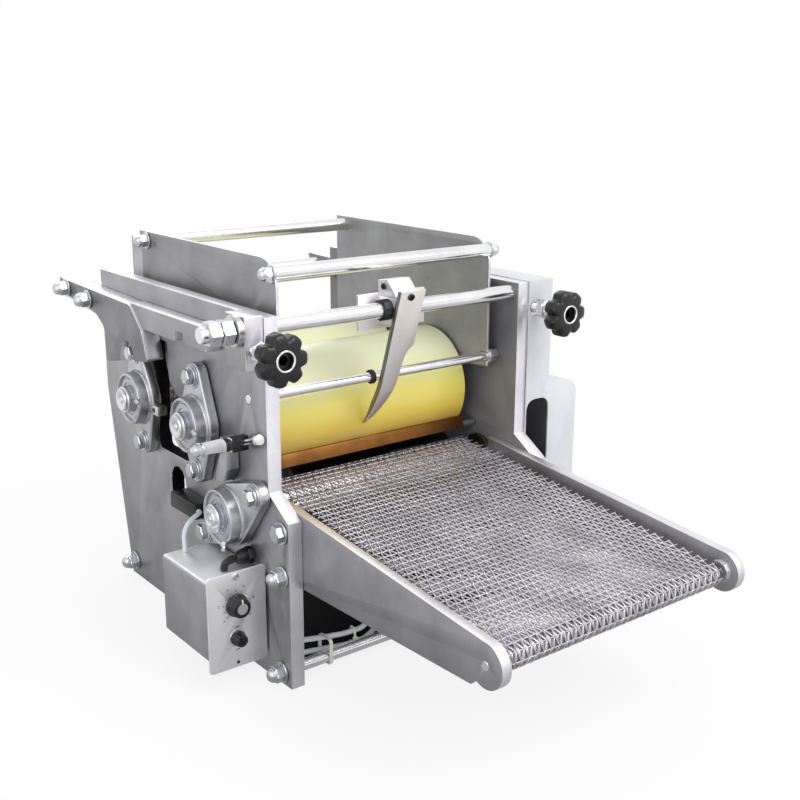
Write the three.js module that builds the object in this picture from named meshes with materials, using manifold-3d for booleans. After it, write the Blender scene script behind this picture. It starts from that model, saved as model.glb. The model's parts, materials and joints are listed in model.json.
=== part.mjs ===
// Tabletop tortilla sheeter: two geared rollers under a trough, a divider, a scraper and a mesh conveyor
import * as THREE from 'three';
import { mergeVertices } from 'three/addons/utils/BufferGeometryUtils.js';
import Module from 'manifold-3d';

const wasm = await Module();
wasm.setup();

// Sizes are in millimetres: X across the machine, Y from front to back, Z up from the table
const clearance = 0.3;
const smooth = 18;
const coarse = 10;
const swivel = 14;

// Widths across the machine follow from the belt
const beltWidth = 266;
const beltSideGap = 10;
const armThickness = 10;
const rollerSideGap = 22;
const hopperSideGap = 19;
const frameInnerWidth = beltWidth + 2 * (beltSideGap + armThickness);
const rollerLength = frameInnerWidth - 2 * rollerSideGap;
const hopperInnerWidth = frameInnerWidth - 2 * hopperSideGap;

// Rollers and gears
const gearModule = 4;
const rollerTeeth = 32;
const conveyorTeeth = 19;
const motorTeeth = 20;
const nipGap = 1.5;
const rollerAxisY = 155.5;
const rollerAxisZ = 236;
const shaftRadius = 12.5;
const gearWidth = 16;
const gearStandOff = 6;
const gearBacklash = 0.7;
const carriageTravel = 4;
const centreDistance = gearModule * rollerTeeth;
const gearTipRadius = centreDistance / 2 + gearModule;
const rollerRadius = (centreDistance - nipGap) / 2;
const rearAxisY = rollerAxisY + centreDistance;

// Side plates
const plateThickness = 15;
const plateAboveAxis = 127;
const plateFootDepth = 354;
const plateTopDepth = 394;
const plateRearCornerHeight = 224;
const plateNoseDrop = 64;
const plateStepDepth = 34;
const plateStepDrop = 43;
const plateHeight = rollerAxisZ + plateAboveAxis;
const plateInner = frameInnerWidth / 2;
const plateOuter = plateInner + plateThickness;
const gearInner = plateOuter + gearStandOff;
const gearOuter = gearInner + gearWidth;
const shaftEnd = gearOuter + 6;

// Flange bearings on the left plate
const flangeThickness = 11.5;
const bossRadius = 31;
const bossHeight = 25;
const bearingRingRadius = 14.5;
const lugRadius = 14;
const lugSpacing = 99;
const lowerLugSpacing = 117;
const boltHeadRadius = 9;
const upright = Math.PI / 2;
const rearTurn = THREE.MathUtils.degToRad(83);
const lowerTurn = THREE.MathUtils.degToRad(146);

// Bush and slide block in the right plate
const bushRadius = 18;
const slideBlockHalf = 22;

// Conveyor
const conveyorAngle = THREE.MathUtils.degToRad(-128.8);
const beltThickness = 2.4;
const driveRollerRadius = 20.6;
const tailRollerRadius = 8.6;
const supportRollerRadius = 8;
const supportSetback = 37;
const conveyorShaftRadius = 10;
const idlerShaftRadius = 4;
const tailReach = 258;
const tailHeight = 133;
const armTipRadius = 20;
const armRearDepth = 66;

// Drive
const motorAngle = THREE.MathUtils.degToRad(-70.6);
const motorShaftRadius = 9;
const motorShaftReach = 30;
const motorRadius = 45;
const motorLength = 120;
const gearboxWidth = 90;
const gearboxHeight = 95;
const gearboxDepth = 92;
const gearboxAboveShaft = 27;
const terminalRise = 22;

// Trough
const hopperAbovePlate = 47;
const hopperHeight = plateHeight + hopperAbovePlate;
const hopperSheet = 3;
const hopperFront = 62;
const hopperBack = 350;
const hopperCorner = 28;
const hopperFlange = 10;
const hopperRodRadius = 7.5;
const hopperStudRadius = 5;

// Rods across the frame
const dividerRodY = 46;
const dividerRodZ = plateHeight - 11;
const dividerRodRadius = 8;
const guideRodY = 67;
const guideRodZ = rollerAxisZ + 43;
const guideRodRadius = 5;
const tieRodRadius = 6;
const frontTieY = 16;
const frontTieZ = 12.5;
const rearTieY = plateFootDepth - 10;
const rearTieZ = 18;

// Gap adjuster
const frontBlockDepth = 36;
const frontBlockHeight = 48;
const frontBlockThickness = 20;
const adjusterX = plateOuter + 10.5;
const adjusterZ = plateHeight - 29;
const adjusterScrewRadius = 5;
const pullBarThickness = 17.5;
const pullBarHeight = 24.5;
const pullBarDrop = 20.5;
const pullBarFront = 115;
const screwReach = 32;
const lockNutWidth = 9;
const lockNutGap = 10;
const bracketThickness = 20;
const tongueHalf = 20;
const tongueBelow = 22;
const tongueAbove = 64;
const knobRadius = 25;
const knobLobes = 7;
const knobFront = plateStepDepth - 54;
const knobLength = 19;
const hornRodRadius = 6;

// Scraper and divider
const scraperShaftRadius = 4;
const scraperDepth = 14;
const scraperSeat = 10.7;
const scraperSheet = 1.2;
const scraperLean = THREE.MathUtils.degToRad(73);
const scraperContact = THREE.MathUtils.degToRad(211.3);
const dividerContact = THREE.MathUtils.degToRad(194);

// Gear cover
const coverSheet = 2;
const coverRearRoom = 16.5;
const coverFront = plateStepDepth - coverSheet;
const coverBack = rearAxisY + gearTipRadius + carriageTravel + coverRearRoom;
const coverTop = plateHeight + 1;
const coverBottom = 20;
const coverFootDepth = 330;
const coverShoulder = rollerAxisZ + 7;
const coverNarrow = 35;
const coverWide = 80;
const coverCorner = 14;

// Control box, whose top lies just under the lower bearing
const boxFront = 43.3;
const boxBack = 145;
const boxBottom = 25;
const boxWidth = 60;
const boxGap = 0.8;
const panelSheet = 2;
const panelWidth = boxWidth + 4;
const panelBottom = boxBottom - 6;
const controlsX = -(plateOuter + 35);
const controlShaftRadius = 3;

const model = new THREE.Group();

// Finishes
function finish(color, roughness, metalness) {
  return new THREE.MeshStandardMaterial({ color, roughness, metalness });
}
const castSteel = finish('#9a9a9f', 0.45, 0.9);
const brightSteel = finish('#d4d4d8', 0.25, 1);
const darkSteel = finish('#4a4a4e', 0.5, 0.9);
const sheetSteel = finish('#8c8c8e', 0.35, 1);
const rollerCoat = finish('#e6cf63', 0.35, 0);
const coverPaint = finish('#e2e2e6', 0.4, 0);
const blackPlastic = finish('#1e1e20', 0.5, 0);
const copper = finish('#a9743f', 0.35, 1);
const greyCable = finish('#b9bbbd', 0.6, 0);
const whitePlastic = finish('#efefec', 0.5, 0);

// Solids: a closed geometry becomes a manifold, and back
function solidOf(geometry) {
  const bare = geometry.clone();
  bare.deleteAttribute('normal');
  bare.deleteAttribute('uv');
  const merged = mergeVertices(bare, 1e-4);
  const vertProperties = new Float32Array(merged.attributes.position.array);
  const triVerts = new Uint32Array(merged.index.array);
  const solid = new wasm.Manifold(new wasm.Mesh({ numProp: 3, vertProperties, triVerts }));
  if (solid.volume() > 0) {
    return solid;
  }
  return new wasm.Manifold(new wasm.Mesh({ numProp: 3, vertProperties, triVerts: triVerts.reverse() }));
}

function join(...solids) {
  return solids.reduce((whole, piece) => whole.add(piece));
}

function cut(base, ...tools) {
  return tools.reduce((rest, tool) => rest.subtract(tool), base);
}

function addPart(name, solid, material) {
  const mesh = solid.getMesh();
  const geometry = new THREE.BufferGeometry();
  geometry.setAttribute('position', new THREE.BufferAttribute(new Float32Array(mesh.vertProperties), 3));
  geometry.setIndex(new THREE.BufferAttribute(new Uint32Array(mesh.triVerts), 1));
  geometry.computeVertexNormals();
  const part = new THREE.Mesh(geometry, material);
  part.name = name;
  model.add(part);
}

// A box between two values on each axis, in either order
function block([x0, x1], [y0, y1], [z0, z1]) {
  const geometry = new THREE.BoxGeometry(Math.abs(x1 - x0), Math.abs(y1 - y0), Math.abs(z1 - z0));
  geometry.translate((x0 + x1) / 2, (y0 + y1) / 2, (z0 + z1) / 2);
  return solidOf(geometry);
}

// An outline in (Y, Z) pushed along X
function sideSlab(shape, x0, x1, curveSegments = 8) {
  const depth = Math.abs(x1 - x0);
  const geometry = new THREE.ExtrudeGeometry(shape, { depth, bevelEnabled: false, curveSegments });
  const basis = new THREE.Matrix4().makeBasis(
    new THREE.Vector3(0, 1, 0), new THREE.Vector3(0, 0, 1), new THREE.Vector3(1, 0, 0));
  geometry.applyMatrix4(basis);
  geometry.translate(Math.min(x0, x1), 0, 0);
  return solidOf(geometry);
}

// An outline in (X, Z) pushed along Y
function frontSlab(shape, y0, y1, curveSegments = 8) {
  const depth = Math.abs(y1 - y0);
  const geometry = new THREE.ExtrudeGeometry(shape, { depth, bevelEnabled: false, curveSegments });
  const basis = new THREE.Matrix4().makeBasis(
    new THREE.Vector3(1, 0, 0), new THREE.Vector3(0, 0, 1), new THREE.Vector3(0, -1, 0));
  geometry.applyMatrix4(basis);
  geometry.translate(0, Math.max(y0, y1), 0);
  return solidOf(geometry);
}

// Round and hexagonal bars along X and Y
function barX(radius, [x0, x1], y, z, sides = coarse) {
  const geometry = new THREE.CylinderGeometry(radius, radius, Math.abs(x1 - x0), sides);
  geometry.rotateZ(-Math.PI / 2);
  geometry.translate((x0 + x1) / 2, y, z);
  return solidOf(geometry);
}

function barY(radius, [y0, y1], x, z, sides = coarse) {
  const geometry = new THREE.CylinderGeometry(radius, radius, Math.abs(y1 - y0), sides);
  geometry.translate(x, (y0 + y1) / 2, z);
  return solidOf(geometry);
}

// A profile of [along, radius] steps turned about an axis along X or Y
function turnedX(profile, y, z, sides = smooth) {
  const points = profile.map(([along, radius]) => new THREE.Vector2(radius, along));
  const geometry = new THREE.LatheGeometry(points, sides);
  geometry.rotateZ(-Math.PI / 2);
  geometry.translate(0, y, z);
  return solidOf(geometry);
}

function turnedY(profile, x, z, sides = smooth) {
  const points = profile.map(([along, radius]) => new THREE.Vector2(radius, along));
  const geometry = new THREE.LatheGeometry(points, sides);
  geometry.translate(x, 0, z);
  return solidOf(geometry);
}

function outlineOf(points) {
  return new THREE.Shape(points.map(([u, v]) => new THREE.Vector2(u, v)));
}

// The same outline with each corner rounded by an arc-like curve
function roundedOutline(points, radius) {
  const corners = points.map(([u, v]) => new THREE.Vector2(u, v));
  const count = corners.length;
  const shape = new THREE.Shape();
  corners.forEach((corner, index) => {
    const before = corners[(index + count - 1) % count].clone().sub(corner);
    const after = corners[(index + 1) % count].clone().sub(corner);
    const reach = Math.min(radius, before.length() / 2.1, after.length() / 2.1);
    const start = corner.clone().add(before.setLength(reach));
    const end = corner.clone().add(after.setLength(reach));
    if (index === 0) {
      shape.moveTo(start.x, start.y);
    } else {
      shape.lineTo(start.x, start.y);
    }
    shape.quadraticCurveTo(corner.x, corner.y, end.x, end.y);
  });
  shape.closePath();
  return shape;
}

// A hexagon head with a washer, standing on a face at x and pointing to side -1 or 1
function boltHead(side, face, y, z, radius = boltHeadRadius) {
  const washer = barX(radius * 1.25, [side * face, side * (face + 2)], y, z);
  const head = barX(radius, [side * (face + 1.8), side * (face + radius)], y, z, 6);
  return join(washer, head);
}

const domeSteps = 2;

// A domed nut with a washer, standing on a face at x and pointing to side -1 or 1
function domeNut(side, face, y, z, radius = boltHeadRadius) {
  const washer = barX(radius * 1.2, [side * face, side * (face + 2)], y, z);
  const hexagon = barX(radius, [side * (face + 1.8), side * (face + radius)], y, z, 6);
  const domeStart = face + radius - 0.2;
  const dome = [[side * domeStart, 0]];
  for (let step = 0; step <= domeSteps; step += 1) {
    const angle = (step / domeSteps) * (Math.PI / 2);
    const along = side * (domeStart + radius * 0.85 * Math.sin(angle));
    dome.push([along, step === domeSteps ? 0 : radius * 0.85 * Math.cos(angle)]);
  }
  return join(washer, hexagon, turnedX(dome, y, z, coarse));
}

// Places found from the sizes above
const conveyorDistance = gearModule * (rollerTeeth + conveyorTeeth) / 2;
const conveyorAxisY = rollerAxisY + conveyorDistance * Math.cos(conveyorAngle);
const conveyorAxisZ = rollerAxisZ + conveyorDistance * Math.sin(conveyorAngle);
const motorDistance = gearModule * (rollerTeeth + motorTeeth) / 2;
const motorAxisY = rollerAxisY + motorDistance * Math.cos(motorAngle);
const motorAxisZ = rollerAxisZ + motorDistance * Math.sin(motorAngle);
const conveyorSpan = new THREE.Vector2(conveyorAxisY + tailReach, conveyorAxisZ - tailHeight);
const conveyorTilt = conveyorSpan.angle();
const radiusStep = driveRollerRadius - tailRollerRadius;
const runTilt = conveyorTilt + Math.asin(radiusStep / conveyorSpan.length());
const supportDrop = driveRollerRadius - supportRollerRadius - clearance;
const supportAxisY = conveyorAxisY - supportSetback * Math.cos(runTilt) - supportDrop * Math.sin(runTilt);
const supportAxisZ = conveyorAxisZ - supportSetback * Math.sin(runTilt) + supportDrop * Math.cos(runTilt);
const lowerLugBottom = conveyorAxisZ - (lowerLugSpacing / 2) * Math.sin(lowerTurn) - lugRadius;
const boxTop = lowerLugBottom - boxGap;
const panelTop = boxTop + 10.5;
const dialZ = boxTop - 24;
const switchZ = boxBottom + 25;
const lowRodY = plateTopDepth - 8;
const lowRodZ = plateHeight - 32;
const hornRods = [[lowRodY, lowRodZ], [lowRodY + 61, lowRodZ + 5]];
const armBolts = [[12, conveyorAxisZ + 3.5], [12, conveyorAxisZ - 41.5]];
const hopperRods = [[hopperFront + 6, hopperHeight - 13.5], [hopperBack - 18, hopperHeight - 10]];

// A point of the front roller's face, at an angle from +Y toward +Z, with the clearance added
function onFrontRoller(angle) {
  const reach = rollerRadius + clearance;
  return [rollerAxisY + reach * Math.cos(angle), rollerAxisZ + reach * Math.sin(angle)];
}
const [scraperTipY, scraperTipZ] = onFrontRoller(scraperContact);
const [dividerTipY, dividerTipZ] = onFrontRoller(dividerContact);
const shaftOffset = scraperShaftRadius + clearance;
const scraperAxisY = scraperTipY - scraperSeat * Math.cos(scraperLean) + shaftOffset * Math.sin(scraperLean);
const scraperAxisZ = scraperTipZ - scraperSeat * Math.sin(scraperLean) - shaftOffset * Math.cos(scraperLean);

// Side plates with their bores, slots and windows
function sidePlate(side) {
  const outline = outlineOf([
    [0, 0], [plateFootDepth, 0], [plateTopDepth, plateRearCornerHeight], [plateTopDepth, plateHeight],
    [plateStepDepth, plateHeight], [plateStepDepth, rollerAxisZ - plateStepDrop],
    [0, rollerAxisZ - plateNoseDrop]]);
  const through = [side * (plateInner - 1), side * (plateOuter + 1)];
  const rodBores = [
    barX(dividerRodRadius + clearance, through, dividerRodY, dividerRodZ, swivel),
    barX(guideRodRadius + clearance, through, guideRodY, guideRodZ),
    barX(tieRodRadius + clearance, through, frontTieY, frontTieZ),
    barX(tieRodRadius + clearance, through, rearTieY, rearTieZ),
    barX(scraperShaftRadius + clearance, through, scraperAxisY, scraperAxisZ),
    ...armBolts.map(([y, z]) => barX(tieRodRadius + clearance, through, y, z))];
  const notchHalf = hornRodRadius + clearance;
  const rodNotch = block(
    through, [lowRodY - notchHalf, plateTopDepth + 1], [lowRodZ - notchHalf, lowRodZ + notchHalf]);
  const plate = cut(sideSlab(outline, side * plateInner, side * plateOuter), ...rodBores, rodNotch);
  return side < 0 ? leftOpenings(plate, through) : rightOpenings(plate, through);
}

// The left plate has a slot for the rear shaft, a window between the bearings and a small arch below it
function leftOpenings(plate, through) {
  const bore = shaftRadius + 1;
  const slot = join(
    barX(bore, through, rearAxisY, rollerAxisZ, smooth),
    barX(bore, through, rearAxisY + carriageTravel, rollerAxisZ, smooth));
  const low = rearAxisY - 21.5;
  const high = rearAxisY - 15.5;
  const step = rearAxisY - 51.5;
  const front = rollerAxisY + 36.5;
  const window = roundedOutline([
    [front, rollerAxisZ - 54], [low, rollerAxisZ - 54], [low, rollerAxisZ + 26], [high, rollerAxisZ + 38],
    [high, rollerAxisZ + 70], [step, rollerAxisZ + 70], [step, rollerAxisZ + 26], [front, rollerAxisZ]], 7);
  const archHalf = 16.5;
  const archY = rollerAxisY + 65;
  const archSpring = rollerAxisZ - 82.5;
  const arch = block(through, [archY - archHalf, archY + archHalf], [archSpring - 17.5, archSpring]);
  return cut(
    plate,
    slot,
    barX(bore, through, rollerAxisY, rollerAxisZ, smooth),
    barX(conveyorShaftRadius + 1, through, conveyorAxisY, conveyorAxisZ, smooth),
    sideSlab(window, ...through, 4),
    arch,
    barX(archHalf, through, archY, archSpring));
}

// The right plate has a window for the slide block, bores for the bushes and one for the motor's shaft
function rightOpenings(plate, through) {
  const half = slideBlockHalf + clearance;
  const blockWindow = block(
    through, [rearAxisY - half, rearAxisY + half + carriageTravel], [rollerAxisZ - half, rollerAxisZ + half]);
  return cut(
    plate,
    blockWindow,
    barX(bushRadius + clearance, through, rollerAxisY, rollerAxisZ, smooth),
    barX(bushRadius + clearance, through, conveyorAxisY, conveyorAxisZ, smooth),
    barX(motorShaftRadius + 3, through, motorAxisY, motorAxisZ));
}
addPart('left_side_plate', sidePlate(-1), castSteel);
addPart('right_side_plate', sidePlate(1), castSteel);

// Blocks on the plates that the divider rod and the adjusting screws pass through
const frontBlockBack = plateStepDepth + frontBlockDepth;
const frontBlockInner = plateOuter + clearance;
const frontBlockOuter = frontBlockInner + frontBlockThickness;

function frontBlock(side) {
  const top = side < 0 ? plateHeight + 3 : coverTop - coverSheet - clearance;
  const across = [side * frontBlockInner, side * frontBlockOuter];
  const through = [side * (frontBlockInner - 1), side * (frontBlockOuter + 1)];
  const lengthwise = [plateStepDepth - 1, frontBlockBack + 1];
  return cut(
    block(across, [plateStepDepth + clearance, frontBlockBack], [plateHeight - frontBlockHeight, top]),
    barX(dividerRodRadius + clearance, through, dividerRodY, dividerRodZ, swivel),
    barY(adjusterScrewRadius + clearance, lengthwise, side * adjusterX, adjusterZ));
}
addPart('left_front_block', frontBlock(-1), castSteel);
addPart('right_front_block', frontBlock(1), castSteel);

// The divider rod, with a thick washer and two nuts outside the left block
function dividerRod() {
  const washer = -frontBlockOuter - clearance;
  const nutWidth = 12;
  const firstNut = washer - 6.9;
  const secondNut = firstNut - nutWidth - 1.5;
  const left = secondNut - nutWidth - 7;
  const right = frontBlockOuter - clearance;
  const rod = turnedX([
    [left, 0], [left, dividerRodRadius - 1], [left + 1, dividerRodRadius], [right - 1, dividerRodRadius],
    [right, dividerRodRadius - 1], [right, 0]], dividerRodY, dividerRodZ, swivel);
  const nuts = [firstNut, secondNut].map((x) => barX(13, [x, x - nutWidth], dividerRodY, dividerRodZ, 6));
  return join(rod, barX(15, [washer, washer - 6.4], dividerRodY, dividerRodZ), ...nuts);
}
addPart('divider_rod', dividerRod(), brightSteel);

// The guide rod, with a ring and a nut outside each trough wall
const hopperInner = hopperInnerWidth / 2;
const hopperOuter = hopperInner + hopperSheet;

function guideRod() {
  const rod = barX(guideRodRadius, [-plateOuter, plateOuter], guideRodY, guideRodZ);
  const ring = hopperOuter + clearance;
  const nut = ring + 4.2;
  const rings = [-1, 1].map((side) => barX(9, [side * ring, side * (ring + 3.7)], guideRodY, guideRodZ));
  const nuts = [-1, 1].map((side) => barX(8, [side * nut, side * (nut + 8.5)], guideRodY, guideRodZ, 6));
  return join(rod, ...rings, ...nuts);
}
addPart('guide_rod', guideRod(), brightSteel);

// A rod through both side members, with a domed nut at each end
function nuttedRod(radius, reach, y, z) {
  const rod = barX(radius, [-reach - 4, reach + 4], y, z);
  return join(rod, domeNut(-1, reach, y, z), domeNut(1, reach, y, z));
}
const tieReach = plateOuter + clearance;
addPart('front_tie_rod', nuttedRod(tieRodRadius, tieReach, frontTieY, frontTieZ), brightSteel);
addPart('rear_tie_rod', nuttedRod(tieRodRadius, tieReach, rearTieY, rearTieZ), brightSteel);

// Trough walls: cheeks that dip between the rollers, notched over the guide rod
function hopperWall(side) {
  const outline = new THREE.Shape();
  outline.moveTo(hopperFront, rollerAxisZ + 32);
  outline.lineTo(hopperFront, hopperHeight - hopperCorner);
  outline.absarc(
    hopperFront + hopperCorner, hopperHeight - hopperCorner, hopperCorner, Math.PI, Math.PI / 2, true);
  outline.lineTo(hopperBack, hopperHeight);
  outline.lineTo(hopperBack, rollerAxisZ + 45);
  outline.lineTo(rearAxisY + 6, rollerAxisZ + 26);
  outline.lineTo((rollerAxisY + rearAxisY) / 2, rollerAxisZ + 4);
  outline.lineTo(rollerAxisY - 6, rollerAxisZ + 26);
  const through = [side * (hopperInner - 1), side * (hopperOuter + 1)];
  const notchHalf = guideRodRadius + clearance;
  const notch = block(
    through, [hopperFront - 1, guideRodY + notchHalf], [guideRodZ - notchHalf, guideRodZ + notchHalf]);
  const flange = block(
    [side * (hopperOuter - 1), side * (hopperOuter + hopperFlange)],
    [hopperBack - hopperSheet, hopperBack], [rollerAxisZ + 49, hopperHeight - 5]);
  const studs = [hopperFront + 50, hopperBack - 32].map((y) => barX(
    hopperStudRadius, [side * (hopperOuter - 1), side * (plateInner - clearance)], y, plateHeight - 18));
  const rodHoles = hopperRods.map(([y, z]) => barX(hopperStudRadius + clearance, through, y, z));
  return cut(
    join(sideSlab(outline, side * hopperInner, side * hopperOuter), flange, ...studs), notch, ...rodHoles);
}
addPart('left_hopper_wall', hopperWall(-1), sheetSteel);
addPart('right_hopper_wall', hopperWall(1), sheetSteel);

// Rods that hold the trough walls apart, with a thinner stud through each wall
function hopperRod([y, z]) {
  const face = hopperOuter + clearance;
  const shoulder = hopperInner - clearance;
  const rod = barX(hopperRodRadius, [-shoulder, shoulder], y, z, 12);
  const nuts = [-1, 1].map((side) => domeNut(side, face, y, z, hopperRodRadius));
  return join(rod, barX(hopperStudRadius, [-face - 4, face + 4], y, z), ...nuts);
}
addPart('front_hopper_rod', hopperRod(hopperRods[0]), brightSteel);
addPart('rear_hopper_rod', hopperRod(hopperRods[1]), brightSteel);

// Two-bolt flange bearings: a lozenge with round ends and a raised boss
function lozenge(spacing, middle, end) {
  const lean = Math.acos((middle - end) / (spacing / 2));
  const shape = new THREE.Shape();
  shape.absarc(0, 0, middle, lean, Math.PI - lean, false);
  shape.absarc(-spacing / 2, 0, end, Math.PI - lean, Math.PI + lean, false);
  shape.absarc(0, 0, middle, Math.PI + lean, 2 * Math.PI - lean, false);
  shape.absarc(spacing / 2, 0, end, -lean, lean, false);
  return shape;
}

// The lozenge turned from +Y toward +Z, pushed along X on the left side
function flangeSlab(spacing, turn, y, z, [x0, x1], grow = 0) {
  const slab = sideSlab(lozenge(spacing, bossRadius + 1 + grow, lugRadius + grow), x0, x1, 4);
  return slab.rotate([THREE.MathUtils.radToDeg(turn), 0, 0]).translate([0, y, z]);
}

function flangeBearing(spacing, turn, y, z) {
  const inner = -plateOuter - clearance;
  const face = inner - bossHeight;
  const bore = bearingRingRadius + clearance;
  const boss = turnedX([
    [inner, bore], [inner, bossRadius], [face + 2, bossRadius - 1], [face, bossRadius - 2.5],
    [face, bossRadius - 5.5], [face + 4, bossRadius - 6.5], [face + 4, bore], [inner, bore]], y, z);
  const shaftHole = barX(bore, [inner + 1, face - 1], y, z, smooth);
  const heads = [-1, 1].map((end) => boltHead(
    -1, -inner + flangeThickness - 0.2,
    y + end * (spacing / 2) * Math.cos(turn), z + end * (spacing / 2) * Math.sin(turn)));
  const flange = flangeSlab(spacing, turn, y, z, [inner - flangeThickness, inner]);
  return join(cut(flange, shaftHole), boss, ...heads);
}
addPart('front_left_bearing', flangeBearing(lugSpacing, upright, rollerAxisY, rollerAxisZ), castSteel);
addPart('rear_left_bearing', flangeBearing(lugSpacing, rearTurn, rearAxisY, rollerAxisZ), castSteel);
const lowerBearing = flangeBearing(lowerLugSpacing, lowerTurn, conveyorAxisY, conveyorAxisZ);
addPart('lower_left_bearing', lowerBearing, castSteel);

// Flanged bushes in the right plate, and the block that slides with the rear roller
function bush(bore, y, z) {
  const inside = plateInner - clearance;
  return turnedX([
    [inside - 4, bore], [inside - 4, bushRadius + 5], [inside, bushRadius + 5], [inside, bushRadius],
    [plateOuter, bushRadius], [plateOuter, bore], [inside - 4, bore]], y, z);
}
addPart('front_right_bush', bush(shaftRadius + clearance, rollerAxisY, rollerAxisZ), copper);
addPart('lower_right_bush', bush(conveyorShaftRadius + clearance, conveyorAxisY, conveyorAxisZ), copper);

const slideBlock = cut(
  block(
    [plateInner + clearance, plateOuter],
    [rearAxisY - slideBlockHalf, rearAxisY + slideBlockHalf],
    [rollerAxisZ - slideBlockHalf, rollerAxisZ + slideBlockHalf]),
  barX(shaftRadius + clearance, [plateInner - 1, plateOuter + 1], rearAxisY, rollerAxisZ, smooth));
addPart('rear_right_slide_block', slideBlock, copper);

// Rollers: a coated sleeve on a shaft, with an inner ring in the left bearing and a gear at the right
function rollerSleeve(y) {
  const half = rollerLength / 2;
  const bore = shaftRadius + clearance;
  return turnedX([
    [-half, bore], [-half, rollerRadius - 1], [-half + 1, rollerRadius], [half - 1, rollerRadius],
    [half, rollerRadius - 1], [half, bore], [-half, bore]], y, rollerAxisZ, 26);
}

function gearShaft(radius, y, z) {
  const ringStart = -plateOuter - 2;
  const ringEnd = -plateOuter - bossHeight - 6;
  return turnedX([
    [ringEnd - 3, 0], [ringEnd - 3, radius - 1], [ringEnd - 2, radius], [ringEnd, radius],
    [ringEnd, bearingRingRadius], [ringStart, bearingRingRadius], [ringStart, radius],
    [shaftEnd, radius], [shaftEnd, 0]], y, z);
}
addPart('front_roller', rollerSleeve(rollerAxisY), rollerCoat);
addPart('front_roller_shaft', gearShaft(shaftRadius, rollerAxisY, rollerAxisZ), brightSteel);
addPart('rear_roller', rollerSleeve(rearAxisY), rollerCoat);
addPart('rear_roller_shaft', gearShaft(shaftRadius, rearAxisY, rollerAxisZ), brightSteel);

// Spur gears with involute flanks
const pressureAngle = THREE.MathUtils.degToRad(20);
function involute(angle) {
  return Math.tan(angle) - angle;
}

function gearOutline(teeth, phase) {
  const pitch = gearModule * teeth / 2;
  const base = pitch * Math.cos(pressureAngle);
  const radii = [pitch - 1.25 * gearModule, pitch, pitch + gearModule];
  const halfAtPitch = Math.PI / (2 * teeth) - gearBacklash / (2 * pitch);
  const halfAt = (radius) => {
    const flank = Math.acos(Math.min(1, base / Math.max(radius, base)));
    return halfAtPitch + involute(pressureAngle) - involute(flank);
  };
  const points = [];
  for (let tooth = 0; tooth < teeth; tooth += 1) {
    const middle = phase + (tooth * 2 * Math.PI) / teeth;
    const rising = radii.map((radius) => [radius, middle - halfAt(radius)]);
    const falling = radii.map((radius) => [radius, middle + halfAt(radius)]).reverse();
    points.push(...rising, ...falling);
  }
  return outlineOf(points.map(([radius, angle]) => [radius * Math.cos(angle), radius * Math.sin(angle)]));
}

// The phase that puts a gap of the driven gear over the tooth of a gear of phase 0, along one direction
function meshingPhase(direction, drivingTeeth, drivenTeeth) {
  const drivingPitch = (2 * Math.PI) / drivingTeeth;
  const offset = Math.round(direction / drivingPitch) * drivingPitch - direction;
  return direction + Math.PI - offset * (drivingTeeth / drivenTeeth) + Math.PI / drivenTeeth;
}

function spurGear(teeth, phase, bore, y, z) {
  const wheel = sideSlab(gearOutline(teeth, phase), gearInner, gearOuter).translate([0, y, z]);
  const hub = barX(bore + 9, [gearOuter - 1, gearOuter + 4], y, z);
  return cut(join(wheel, hub), barX(bore, [gearInner - 1, gearOuter + 5], y, z, smooth));
}
const shaftBore = shaftRadius + clearance;
const frontGear = spurGear(rollerTeeth, 0, shaftBore, rollerAxisY, rollerAxisZ);
const rearGear = spurGear(
  rollerTeeth, meshingPhase(0, rollerTeeth, rollerTeeth), shaftBore, rearAxisY, rollerAxisZ);
const conveyorGear = spurGear(
  conveyorTeeth, meshingPhase(conveyorAngle, rollerTeeth, conveyorTeeth),
  conveyorShaftRadius + clearance, conveyorAxisY, conveyorAxisZ);
addPart('front_roller_gear', frontGear, darkSteel);
addPart('rear_roller_gear', rearGear, darkSteel);
addPart('conveyor_gear', conveyorGear, darkSteel);

// Motor pinion in one piece with its shaft
const pinionWheel = sideSlab(
  gearOutline(motorTeeth, meshingPhase(motorAngle, rollerTeeth, motorTeeth)), gearInner, gearOuter);
const pinionShaft = barX(
  motorShaftRadius, [plateInner - motorShaftReach, gearOuter + 4], motorAxisY, motorAxisZ, smooth);
addPart('motor_pinion', join(pinionWheel.translate([0, motorAxisY, motorAxisZ]), pinionShaft), darkSteel);

// Gear motor: a gearbox on the right plate and a ribless round motor beside it
const gearboxRight = plateInner - clearance;
const motorCentreZ = motorAxisZ + gearboxAboveShaft - gearboxHeight / 2;
const gearboxOutline = roundedOutline([
  [motorAxisY - gearboxDepth / 2, motorCentreZ - gearboxHeight / 2],
  [motorAxisY + gearboxDepth / 2, motorCentreZ - gearboxHeight / 2],
  [motorAxisY + gearboxDepth / 2, motorCentreZ + gearboxHeight / 2],
  [motorAxisY - gearboxDepth / 2, motorCentreZ + gearboxHeight / 2]], 10);
const gearboxBore = barX(
  motorShaftRadius + clearance, [plateInner - motorShaftReach - 1, plateInner + 1],
  motorAxisY, motorAxisZ, smooth);
const gearboxBody = sideSlab(gearboxOutline, gearboxRight - gearboxWidth, gearboxRight, 3);
addPart('gearbox', cut(gearboxBody, gearboxBore), darkSteel);

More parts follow.
